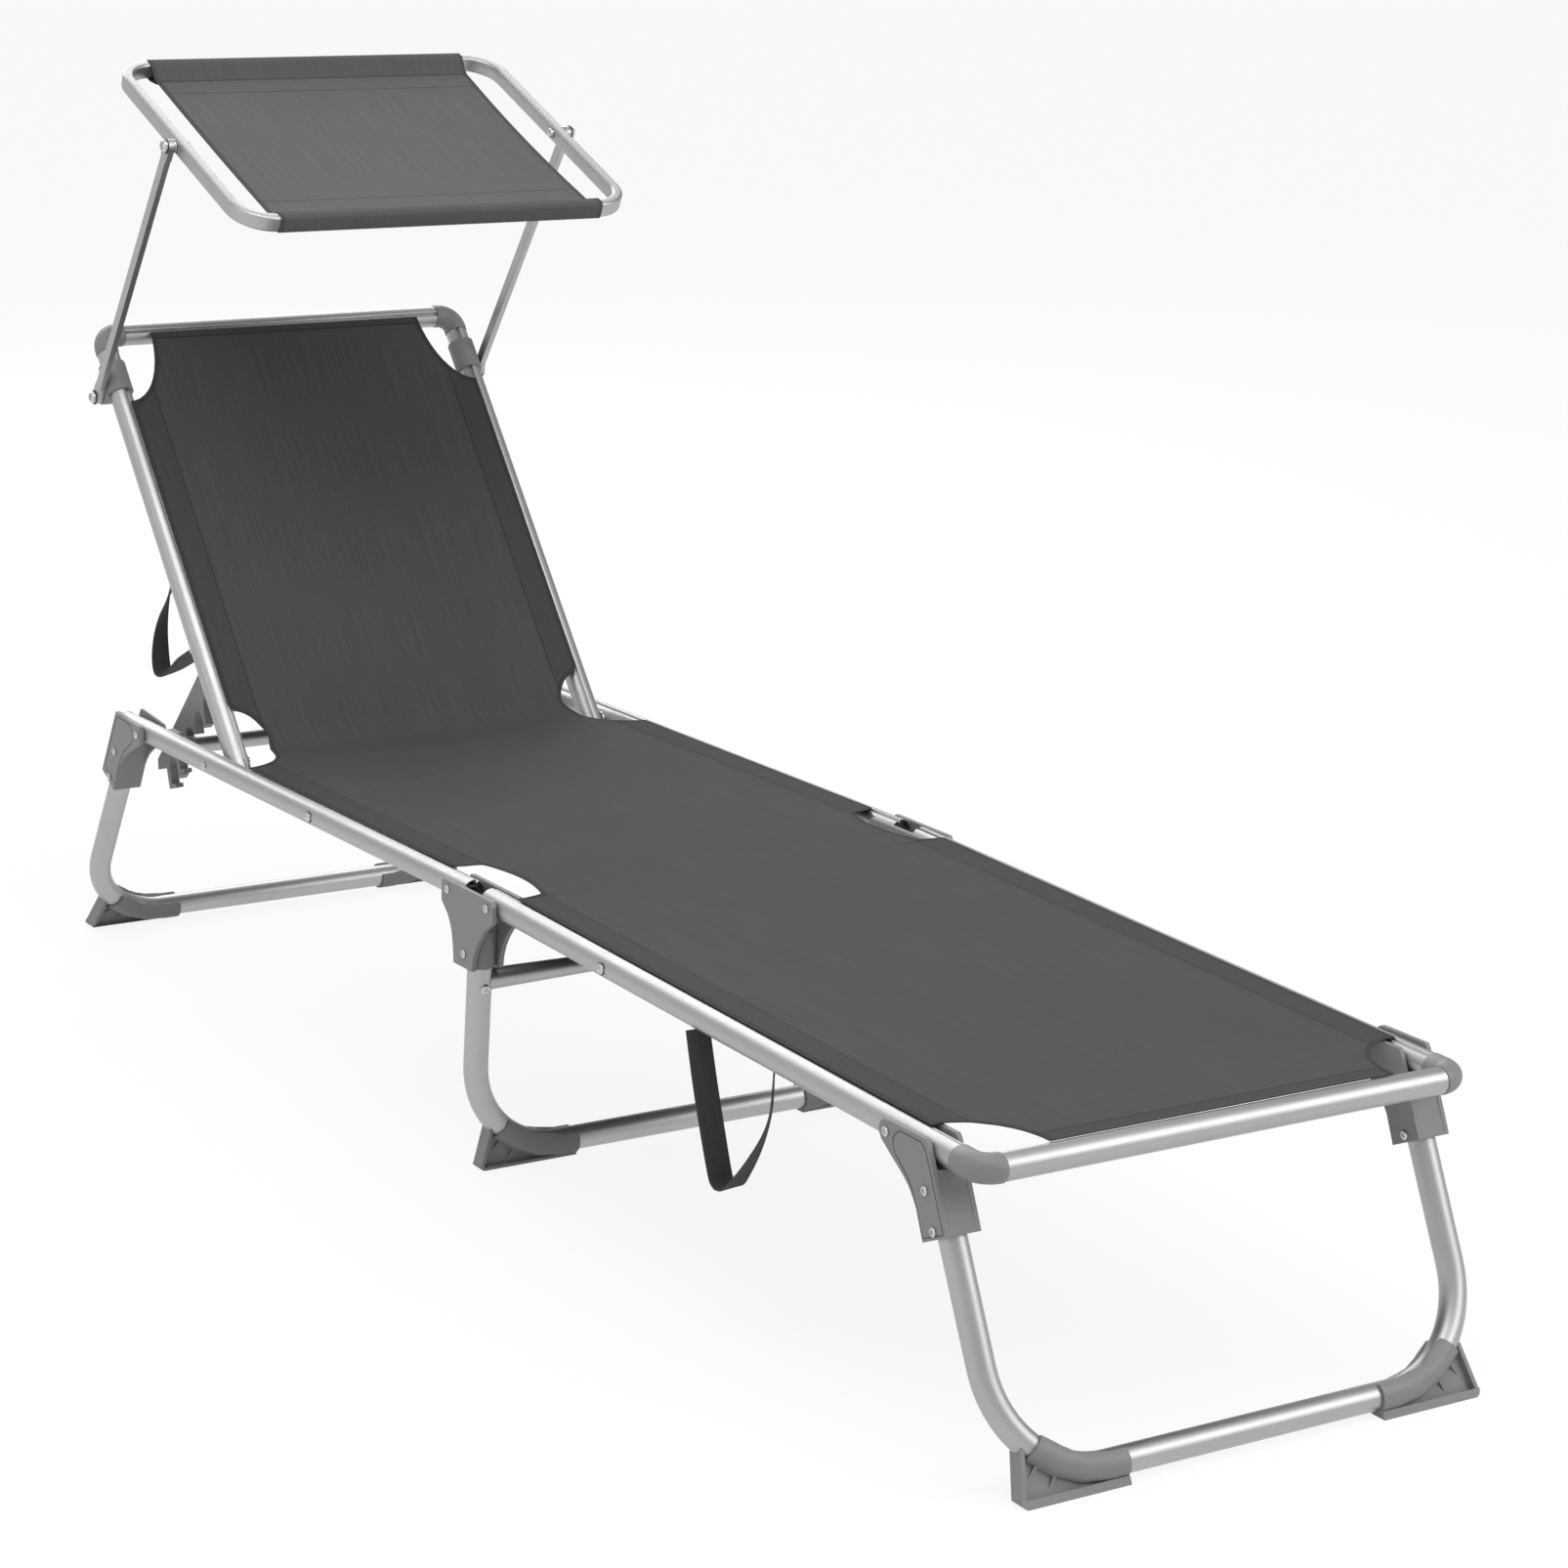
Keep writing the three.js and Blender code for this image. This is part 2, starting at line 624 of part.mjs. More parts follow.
const boltInner = backrestHalfGauge - tubeRadius - seatGap;
const boltOuter = railHalfGauge + tubeRadius + seatGap;
const boltCollar = [backrestHalfGauge + tubeRadius + seatGap, railHalfGauge - tubeRadius - seatGap];
for (const [side, word] of sides) {
  add(seat, `${word}_backrest_bolt`, sidePin(side, boltInner, boltOuter, backrestPlace, 0,
    { headInner: headRadius, headOuter: headRadius, collar: boltCollar }), steel);
}
outerLeg(seat, 'rear', rearLegPlace, degrees(rearLean), rearBracketExtra, 1,
  midHeight - rearLegPlace * Math.sin(headSlope), headSlope, false);

// Middle support: two brackets that the rails fold in, the middle leg and its stretcher
const mid = body(seat, 'mid_support', 0, 0, headSlope);
const midMiddle = -hingeSpacing / 2;
const midBottomShare = 2.9;
const midPlateShares = [[-2.1, 0.16], [-1.96, 0.36], [1.96, 0.36], [2.1, 0.16], [2.12, -0.56], [1.86, -0.8],
  [1.6, -1.02], [1.4, -1.34], [1.26, -1.68], [1.16, -2.2], [1.1, -midBottomShare], [-0.42, -midBottomShare],
  [-0.5, -2.42], [-0.68, -1.96], [-0.92, -1.57], [-1.28, -1.14], [-1.6, -0.86], [-1.9, -0.66], [-2.1, -0.5]];
const midBottom = midBottomShare * tubeDiameter;

for (const [side, word] of sides) {
  const middle = side * railHalfGauge;
  const outline = polygon(midPlateShares.map(([a, b]) => [midMiddle + a * tubeDiameter, b * tubeDiameter]));
  const plates = [[plateInner, plateOuter], [-plateOuter, -plateInner]].map(([low, high]) =>
    acrossSolid(outline, middle + low, middle + high));
  const housing = flatSolid(disc(tubeRadius + holeClearance + housingWall), -midBottom - overrun,
    -midLegTop + housingWall, roundSides / 2);
  const bore = flatSolid(disc(tubeRadius + holeClearance), -midBottom - 2 * overrun,
    -midLegTop + seatGap, roundSides / 2);
  for (const round of [housing, bore]) {
    round.translate(middle, 0, 0).rotateX(degrees(midLean)).translate(0, midMiddle, 0);
  }
  const under = box([middle - tubeDiameter, midMiddle - tubeDiameter, -midBottom - tubeDiameter],
    [middle + tubeDiameter, midMiddle + 2 * tubeDiameter, -midBottom]);
  const holes = [0, -hingeSpacing].map((place) =>
    acrossRod(pinRadius + holeClearance, middle - plateOuter - overrun,
      middle + plateOuter + overrun, place, 0));
  add(mid, `${word}_mid_bracket`, carve(fuse(...plates, housing), bore, under, ...holes), plastic);
  add(mid, `${word}_rear_hinge_rivet`, pivotRivet(side, 0), steel);
  add(mid, `${word}_front_hinge_rivet`, pivotRivet(side, -hingeSpacing), steel);
}
const midLeg = body(mid, 'mid_leg', midMiddle, 0, 0);
legTubeAndFeet(midLeg, 'mid', 0, legLength(midHeight, 0, degrees(midLean)), midLegTop, degrees(midLean), 1);

const stretcherEnd = railHalfGauge - tubeRadius - seatGap;
const stretcherY = midMiddle + stretcherDrop * Math.sin(degrees(midLean));
const stretcherOutline = [
  [stretcherEndRadius, -stretcherEnd], [stretcherRadius, stretcherTaper - stretcherEnd],
  [stretcherRadius, stretcherEnd - stretcherTaper], [stretcherEndRadius, stretcherEnd]];
const stretcherLoop = [...stretcherOutline,
  ...stretcherOutline.map(([radius, place]) => [radius - tubeWall, place]).reverse(), stretcherOutline[0]];
const stretcher = new THREE.LatheGeometry(stretcherLoop.map(([a, b]) => new THREE.Vector2(a, b)), roundSides);
add(mid, 'mid_stretcher', toGeometry(toSolid(stretcher)).rotateZ(-Math.PI / 2)
  .translate(0, stretcherY, -stretcherDrop), aluminium);

const hingeSheetHalf = sheetHalfWidth - hingeCutDepth;
add(mid, 'mid_fabric', box([-hingeSheetHalf, -hingeSpacing + hingeSheetGap, fabricRise],
  [hingeSheetHalf, -hingeSheetGap, fabricRise + fabricThickness]), fabric);

// Front section: front rails, elbows, front bar and its fabric
const front = body(mid, 'front_frame', -hingeSpacing, 0, frontSlope);
const frontRailEnd = frontSpan - frontElbowReach;
const frontBarHalf = railHalfGauge - frontElbowReach + tubeRadius;
for (const [side, word] of sides) {
  const rail = railTube(-frontRailEnd, railStub, [0, -frontLegPlace]);
  add(front, `${word}_front_rail`, rail.translate(side * railHalfGauge, 0, 0), aluminium);
  add(front, `${word}_front_elbow`, elbow(
    at(side * railHalfGauge, -frontRailEnd - seatGap, 0), at(side * railHalfGauge, -frontSpan, 0),
    at(side * (frontBarHalf + seatGap), -frontSpan, 0), frontElbowBend), plastic);
}
add(front, 'front_bar', acrossSolid(ring(tubeRadius, tubeBore), -frontBarHalf, frontBarHalf, roundSides / 2)
  .translate(0, -frontSpan, 0), aluminium);

add(front, 'front_fabric', panel(sheetHalfWidth, -frontSpan + fabricInset, 0, [frontCut, frontCutLength],
  hingeCuts), fabric);

// Carry strap: a loop of webbing that hangs from the left front rail
const frontStrapShares = [[1, 0], [0.86, 0.3], [0.66, 0.72], [0.42, 0.98], [0.08, 1], [-0.26, 0.86],
  [-0.66, 0.4], [-1, 0]];
add(front, 'front_strap', strapLoop(frontStrapShares, frontStrapPlace, frontStrapHalf, frontStrapDrop,
  -railHalfGauge, webbingWidth), webbing);
outerLeg(front, 'front', -frontLegPlace, degrees(frontLean), 0, -1,
  midHeight - frontLegPlace * Math.sin(frontSlope), -frontSlope, true);

// Backrest: two tubes, the top bar with its elbows, fabric, canopy clamps and strap
const backrest = body(seat, 'backrest', backrestPlace, 0, degrees(backrestAngle) + headSlope);
const backTubeEnd = backrestLength - topElbowReach;
const topBarHalf = backrestHalfGauge - topElbowReach;
for (const [side, word] of sides) {
  const pegSpace = acrossRod(rackPegRadius + rackPegGap, -tubeRadius - overrun, tubeRadius + overrun,
    rackPinPlace, -rackPinDrop);
  const tube = carve(railTube(-backrestTail, backTubeEnd, [0]), pegSpace);
  add(backrest, `${word}_backrest_tube`, tube.translate(side * backrestHalfGauge, 0, 0), aluminium);
  add(backrest, `${word}_top_elbow`, elbow(
    at(side * backrestHalfGauge, backTubeEnd + seatGap, 0), at(side * backrestHalfGauge, backrestLength, 0),
    at(side * (topBarHalf + seatGap), backrestLength, 0), topElbowBend), plastic);
  const collar = lengthSolid(disc(clampRadius), clampLow, clampHigh, roundSides / 2)
    .translate(side * backrestHalfGauge, 0, 0);
  const [low, high] = mirrored(side, backrestHalfGauge, strutInner - seatGap);
  const lug = fuse(acrossRod(clampLugRadius, low, high, strutPlace, -strutDrop, roundSides),
    box([low, strutPlace - clampLugRadius, -strutDrop], [high, strutPlace + clampLugRadius, 0]));
  const tubeSpace = lengthSolid(disc(tubeRadius + seatGap), clampLow - overrun, clampHigh + overrun,
    roundSides / 2).translate(side * backrestHalfGauge, 0, 0);
  const boltSpace = acrossRod(pinRadius + holeClearance, low - overrun, high + overrun,
    strutPlace, -strutDrop);
  add(backrest, `${word}_canopy_clamp`, carve(fuse(collar, lug), tubeSpace, boltSpace), plastic);
}
add(backrest, 'top_bar', acrossSolid(ring(tubeRadius, tubeBore), -topBarHalf, topBarHalf, roundSides / 2)
  .translate(0, backrestLength, 0), aluminium);

add(backrest, 'backrest_fabric', panel(backrestHalfGauge - fabricInset, backFabricStart,
  backrestLength + fabricInset, [backCut, backCutLength], [topCut, topCutLength]), fabric);

const backStrapShares = [[1, 0], [0.96, 0.3], [0.7, 0.75], [0.3, 1], [-0.36, 1], [-0.6, 0.7], [-0.86, 0.3],
  [-1, 0]];
add(backrest, 'backrest_strap', strapLoop(backStrapShares, backStrapPlace, backStrapHalf, backStrapDrop,
  -backrestHalfGauge + backStrapInset, backStrapWidth), webbing);

const rackOuter = backrestHalfGauge - tubeRadius - rackGap;
const rackInner = rackOuter - rackThickness;

// Rack arms: a boss at the backrest, a spine, and a row of slots that open downwards
const rack = body(backrest, 'rack', rackPinPlace, -rackPinDrop, -degrees(backrestAngle));
const pinInRoom = new THREE.Vector2(rackPinPlace, -rackPinDrop)
  .rotateAround(new THREE.Vector2(), degrees(backrestAngle));
const barInRoom = new THREE.Vector2(crossBarPlace - backrestPlace, -crossBarDrop)
  .rotateAround(new THREE.Vector2(), -headSlope);
const rowAlong = new THREE.Vector2(Math.cos(degrees(rackRowAngle)), Math.sin(degrees(rackRowAngle)));
const rowOut = new THREE.Vector2(-rowAlong.y, rowAlong.x);
const slotDown = new THREE.Vector2(-Math.sin(degrees(rackSlotAngle)), -Math.cos(degrees(rackSlotAngle)));
const slotForward = new THREE.Vector2(slotDown.y, -slotDown.x);
const barFromPin = barInRoom.clone().sub(pinInRoom);
function pocketPlace(index) {
  const rest = barFromPin.clone().addScaledVector(slotDown, -rackLift);
  return rest.addScaledVector(rowAlong, (index - rackPocketsBeforeRest) * rackPitch);
}

function offsetPoint(from, down, forward) {
  return from.clone().addScaledVector(slotDown, down).addScaledVector(slotForward, forward);
}

// Place of the cross bar in the arm's own frame when the backrest has come down by a share of its travel
function barPath(share) {
  const fall = -degrees(backrestTravel) * share;
  const pin = pinInRoom.clone().rotateAround(new THREE.Vector2(), fall);
  return barInRoom.clone().sub(pin).rotateAround(new THREE.Vector2(), fall * rackTurnShare);
}

function stadium(from, to, radius) {
  const turn = Math.atan2(to.y - from.y, to.x - from.x);
  const shape = new THREE.Shape();
  shape.absarc(to.x, to.y, radius, turn - Math.PI / 2, turn + Math.PI / 2, false);
  shape.absarc(from.x, from.y, radius, turn + Math.PI / 2, turn + 1.5 * Math.PI, false);
  return shape;
}

function rackArm(side) {
  const [low, high] = mirrored(side, rackInner, rackOuter);
  const first = pocketPlace(0);
  const last = pocketPlace(rackPockets - 1);
  const half = rackSlotWidth / 2;
  const bottom = rackFloor + rackFoot;
  const backCorner = last.clone().addScaledVector(rowAlong, half + rackStem + rackStub / 2)
    .addScaledVector(rowOut, rackSpine - rackStub / 2);
  const spineTop = new THREE.Vector2().addScaledVector(rowOut, rackBoss);
  const outline = [
    spineTop, new THREE.Vector2().addScaledVector(rowOut, -rackBoss),
    offsetPoint(first, -half, half), offsetPoint(first, bottom, 0),
    offsetPoint(last, bottom, -half), offsetPoint(last, bottom, -half - rackStem),
    offsetPoint(last, 0, -half - rackStem), offsetPoint(last, 0, -half - rackStem - rackStub), backCorner];
  const plate = acrossSolid(new THREE.Shape(outline.reverse()), low, high);
  const boss = acrossRod(rackBoss, low, high, 0, 0, roundSides);
  const slots = [];
  const hooks = [];
  for (let i = 0; i < rackPockets; i += 1) {
    const place = pocketPlace(i);
    slots.push(acrossSolid(stadium(place, offsetPoint(place, rackSlotReach, 0), half),
      low - overrun, high + overrun));
    const hook = new THREE.Shape([
      offsetPoint(place, bottom, -half - rackStem / 2), offsetPoint(place, bottom, -half + rackHook),
      offsetPoint(place, rackFloor, -half + rackHook), offsetPoint(place, rackFloor, -half - rackStem / 2)]);
    hooks.push(acrossSolid(hook, low, high));
  }
  const sweep = [];
  for (let i = 0; i < sweepSteps; i += 1) {
    const [from, to] = [barPath(i / sweepSteps), barPath((i + 1) / sweepSteps)];
    const path = stadium(from, to, crossBarRadius + barClearance);
    sweep.push(acrossSolid(path, low - overrun, high + overrun, smallSides / 2));
  }
  const peg = acrossRod(rackPegRadius, ...mirrored(side, rackInner, rackOuter + rackPegLength), 0, 0);
  const comb = fuse(carve(fuse(plate, boss), ...slots), ...hooks);
  return fuse(carve(comb, ...sweep), peg);
}

for (const [side, word] of sides) {
  add(rack, `${word}_rack_arm`, rackArm(side), plastic);
}

// Canopy struts: flat-ended bars on the outer side of the clamps
const strutOuter = strutInner + strutThickness;
const struts = body(backrest, 'canopy_struts', strutPlace, -strutDrop, degrees(strutAngle - backrestAngle));
for (const [side, word] of sides) {
  const [low, high] = mirrored(side, strutInner, strutOuter);
  const flatOutline = stadium(new THREE.Vector2(0, 0), new THREE.Vector2(strutLength, 0), strutTab);
  const flat = acrossSolid(flatOutline, low, high);
  const narrow = [1, -1].map((up) => {
    const [edge, far] = mirrored(up, strutWidth / 2, tubeDiameter);
    return box([low - overrun, strutTabLength, edge], [high + overrun, strutLength - strutTabLength, far]);
  });
  const holes = [0, strutLength].map((place) =>
    acrossRod(pinRadius + holeClearance, low - overrun, high + overrun, place, 0));
  add(struts, `${word}_canopy_strut`, carve(flat, ...narrow, ...holes), aluminium);
  add(struts, `${word}_strut_bolt`, sidePin(side, backrestHalfGauge + tubeRadius + seatGap,
    strutOuter + seatGap, 0, 0, { headOuter: boltHeadRadius, depth: boltHeadDepth }), steel);
}

// Canopy: a flat-sided tube bent to a rounded rectangle in two halves, with the fabric sleeved over its ends
const canopy = body(struts, 'canopy', strutLength, 0, degrees(canopyAngle - strutAngle));
const halfSection = canopyTubeWidth / 2;
const canopySide = canopyHalfWidth - halfSection;
const canopyRear = canopyRearReach - halfSection;
const canopyFront = canopyFrontReach - halfSection;

// Section of the canopy tube with eased edges; grow is how far it stands off the tube's own surface
function tubeSection(width, height, grow, place = 0) {
  const [a, b] = [width / 2 + grow, height / 2 + grow];
  const ease = canopyTubeEdge + grow;
  const shape = new THREE.Shape();
  shape.absarc(place + a - ease, b - ease, ease, 0, Math.PI / 2, false);
  shape.absarc(place - a + ease, b - ease, ease, Math.PI / 2, Math.PI, false);
  shape.absarc(place - a + ease, -b + ease, ease, Math.PI, 1.5 * Math.PI, false);
  shape.absarc(place + a - ease, -b + ease, ease, 1.5 * Math.PI, 2 * Math.PI, false);
  return shape;
}

const canopyHalves = sides.map(([side]) => {
  const path = new BentPath([at(0, canopyRear, 0), at(side * canopySide, canopyRear, 0),
    at(side * canopySide, -canopyFront, 0), at(0, -canopyFront, 0)], canopyCorner - halfSection, cornerSteps);
  const section = tubeSection(canopyTubeDepth, canopyTubeWidth, 0);
  section.holes.push(tubeSection(canopyTubeDepth, canopyTubeWidth, -canopyTubeWall));
  return path.sweep(section, edgeSteps);
});
const canopyBoltSpace = acrossRod(pinRadius + holeClearance,
  -canopyHalfWidth - overrun, canopyHalfWidth + overrun, 0, 0);
add(canopy, 'canopy_frame', carve(fuse(...canopyHalves), canopyBoltSpace), aluminium);

const sleeveEnd = canopyFabricHalfWidth;
const sheetTop = canopyTubeDepth / 2 + sleeveGap + fabricThickness;
const canopySheet = box([-sleeveEnd, -canopyFront, sheetTop - fabricThickness],
  [sleeveEnd, canopyRear, sheetTop]);
const sleeves = [canopyRear, -canopyFront].map((place) =>
  acrossSolid(tubeSection(canopyTubeWidth, canopyTubeDepth, sleeveGap + fabricThickness, place),
    -sleeveEnd, sleeveEnd, edgeSteps + 1));
const sleeveSpaces = [canopyRear, -canopyFront].map((place) =>
  acrossSolid(tubeSection(canopyTubeWidth, canopyTubeDepth, sleeveGap, place),
    -sleeveEnd - overrun, sleeveEnd + overrun, edgeSteps + 1));
add(canopy, 'canopy_fabric', carve(fuse(canopySheet, ...sleeves), ...sleeveSpaces), fabric);

const canopyCollar = [canopyHalfWidth + seatGap, strutInner - seatGap];
for (const [side, word] of sides) {
  add(canopy, `${word}_canopy_bolt`, sidePin(side, canopySide - halfSection - seatGap,
    strutOuter + seatGap, 0, 0,
    { headInner: headRadius, headOuter: boltHeadRadius, depth: boltHeadDepth, collar: canopyCollar }), steel);
}

// The origin goes to the middle of the footprint
lounger.updateMatrixWorld(true);
const extent = new THREE.Box3().setFromObject(lounger, true);
lounger.position.y = -(extent.min.y + extent.max.y) / 2;

export default lounger;
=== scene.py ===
# Looks of the folding sun lounger with canopy, in metres, in the part's own frame.
# The head end is +Y, the near side in the picture is -X, and the ground is z = 0.
import math
import bpy
import numpy as np
from mathutils import Matrix, Vector


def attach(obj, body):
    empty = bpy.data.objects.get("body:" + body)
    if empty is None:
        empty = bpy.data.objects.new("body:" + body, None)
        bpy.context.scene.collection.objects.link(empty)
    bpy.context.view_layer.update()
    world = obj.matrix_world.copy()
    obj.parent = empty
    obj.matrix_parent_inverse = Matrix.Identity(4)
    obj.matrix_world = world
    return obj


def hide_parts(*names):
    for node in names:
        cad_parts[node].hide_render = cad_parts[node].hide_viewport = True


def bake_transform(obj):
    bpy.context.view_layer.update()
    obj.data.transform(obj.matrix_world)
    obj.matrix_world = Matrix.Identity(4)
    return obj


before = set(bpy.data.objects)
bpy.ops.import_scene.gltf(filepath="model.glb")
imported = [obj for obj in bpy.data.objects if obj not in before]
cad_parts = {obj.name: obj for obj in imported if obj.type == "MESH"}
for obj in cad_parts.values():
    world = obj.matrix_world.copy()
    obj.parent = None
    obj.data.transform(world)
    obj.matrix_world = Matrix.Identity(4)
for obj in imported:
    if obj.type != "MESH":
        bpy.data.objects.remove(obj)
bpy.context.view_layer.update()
mesh_ops = bpy.ops.mesh

# Sizes of the frame, the same as the part's
RAIL_X = 0.255
BACK_X = 0.2265
TUBE = 0.0125
WALL = 0.0012
PLATE_OUTER = TUBE + 0.0054
SEAT_LENGTH = 0.818
FRONT_LENGTH = 0.811
STUB = 0.022
BACK_LENGTH = 0.551
BACK_TAIL = 0.014
BACK_PLACE = 0.583
FRONT_REACH = 0.031
TOP_REACH = 0.024
LEG_BEND = 0.100
LEG_OFFSET = 0.038
LEG_TOP = 0.048
MID_LEG_TOP = 0.036
HINGE_SPACING = 0.080
SHEET_RISE = 0.0134
SHEET_THICKNESS = 0.0010
STRUT_INNER = 0.2434
STRUT_THICKNESS = 0.007
CANOPY_X = 0.2344
CANOPY_REAR = 0.179
CANOPY_FRONT = -0.1765
CANOPY_BEND = 0.039
SIDES = ((-1, "left"), (1, "right"))
GAP = 0.0003


class Section:
    """A rigid section of the lounger: where it turns, its slope in degrees and a shift along it."""

    def __init__(self, body, y, z, slope, shift=0.0):
        self.body = body
        turn = Matrix.Rotation(math.radians(slope), 4, "X")
        self.matrix = Matrix.Translation((0, y, z)) @ turn @ Matrix.Translation((0, shift, 0))

    def place(self, x, y, z):
        return self.matrix @ Vector((x, y, z))


SEAT_SLOPE = -0.56035
FRONT_SLOPE = 1.20110
BACK_SLOPE = 50.7
FRONT_LEAN = 25.6
REAR_LEAN = 30.4
MID_LEAN = 4.2
seat = Section("seat_frame", -0.006334, 0.293, SEAT_SLOPE)
middle = Section("mid_support", -0.006334, 0.293, 0)
front = Section("front_frame", -0.086334, 0.293, FRONT_SLOPE)
back = Section("backrest", 0.576639, 0.287298, BACK_SLOPE)
rear_bracket = Section("rear_leg", 0.746630, 0.285636, 0)
front_bracket = Section("front_leg", -0.783180, 0.278390, 0)
rear_leg = Section("rear_leg", 0.746630, 0.285636, REAR_LEAN, LEG_OFFSET)
front_leg = Section("front_leg", -0.783180, 0.278390, -FRONT_LEAN, -LEG_OFFSET)
middle_leg = Section("mid_support", -0.046334, 0.293, MID_LEAN)
struts = Section("canopy_struts", 0.895857, 0.648888, 125.0)
canopy = Section("canopy", 0.683634, 0.951975, 22.1)


# Materials
class Signal:
    """A socket in a material: sums and products of it add Math nodes."""

    def __init__(self, tree, socket):
        self.tree = tree
        self.socket = socket

    def maths(self, operation, *values):
        sockets = dict(enumerate(values))
        return node(self.tree, "ShaderNodeMath", {"operation": operation}, sockets)

    def __add__(self, other):
        return self.maths("ADD", self, other)

    def __sub__(self, other):
        return self.maths("SUBTRACT", self, other)

    def __rsub__(self, other):
        return self.maths("SUBTRACT", other, self)

    def __mul__(self, other):
        return self.maths("MULTIPLY", self, other)

    def __lt__(self, other):
        return self.maths("LESS_THAN", self, other)

    def __gt__(self, other):
        return self.maths("GREATER_THAN", self, other)

    def at_least(self, other):
        return self.maths("MAXIMUM", self, other)

    def sine(self):
        return self.maths("SINE", self)


def node(tree, kind, settings, sockets, output=0):
    """Adds a node: its settings first, then the values or links of its sockets."""
    made = tree.nodes.new(kind)
    for key, value in settings.items():
        setattr(made, key, value)
    for key, value in sockets.items():
        if isinstance(value, Signal):
            tree.links.new(value.socket, made.inputs[key])
        else:
            made.inputs[key].default_value = value
    return Signal(tree, made.outputs[output])


def mixed(tree, factor, low, high):
    """A colour between two, by a signal from 0 to 1."""
    return node(tree, "ShaderNodeMix", {"data_type": "RGBA"}, {0: factor, 6: low, 7: high}, 2)


def shade(colour, share):
    return (*[min(1, c * share) for c in colour], 1)


def material(name, colour, **constants):
    made = bpy.data.materials.new(name)
    made.use_nodes = True
    made.diffuse_color = (*colour, 1)
    shader = made.node_tree.nodes["Principled BSDF"]
    shader.inputs["Base Color"].default_value = (*colour, 1)
    for key, value in constants.items():
        shader.inputs[key.replace("_", " ")].default_value = value
    return made, made.node_tree, shader


def feed(tree, shader, socket, signal):
    tree.links.new(signal.socket, shader.inputs[socket])


def object_noise(tree, scale, detail):
    place = node(tree, "ShaderNodeTexCoord", {}, {}, 3)
    return node(tree, "ShaderNodeTexNoise", {}, {"Vector": place, "Scale": scale, "Detail": detail})


def bumped(tree, shader, height, strength, distance):
    bump = node(tree, "ShaderNodeBump", {}, {"Strength": strength, "Distance": distance, "Height": height})
    feed(tree, shader, "Normal", bump)


def satin_metal(name, colour, roughness):
    """Metal with a fine grain, cloudy patches of polish and faint darker smudges."""
    made, tree, shader = material(name, colour, Metallic=1.0, Roughness=roughness)
    cloud = object_noise(tree, 28.0, 3.0)
    grain = object_noise(tree, 1500.0, 1.0)
    smudge = object_noise(tree, 9.0, 4.0)
    feed(tree, shader, "Base Color", mixed(tree, smudge, shade(colour, 0.94), shade(colour, 1.06)))
    feed(tree, shader, "Roughness", cloud * 0.10 + (roughness - 0.05))
    bumped(tree, shader, grain, 0.10, 0.0001)
    return made


def moulded_plastic(name, colour, roughness):
    """Plastic with a fine moulded grain and a slightly cloudy grey."""
    made, tree, shader = material(name, colour, Roughness=roughness)
    grain = object_noise(tree, 1100.0, 2.0)
    cloud = object_noise(tree, 18.0, 3.0)
    feed(tree, shader, "Base Color", mixed(tree, cloud, shade(colour, 0.92), shade(colour, 1.1)))
    feed(tree, shader, "Roughness", cloud * 0.12 + (roughness - 0.06))
    bumped(tree, shader, grain, 0.22, 0.0002)
    return made


def attribute(tree, name):
    return node(tree, "ShaderNodeAttribute", {"attribute_name": name}, {}, 2)


def line(signal, place, width):
    """1 on a thin line where a signal passes a value, and 0 elsewhere."""
    return (signal > place) * (signal < place + width)


# A seam lies a little inside its hem; the widths of seams, and the stitches' turn per metre
SEAM_INSET = 0.0028
SIDE_SEAM, EDGE_SEAM, END_SEAM = 0.0013, 0.0012, 0.0017
STITCH_TURN = 1800.0


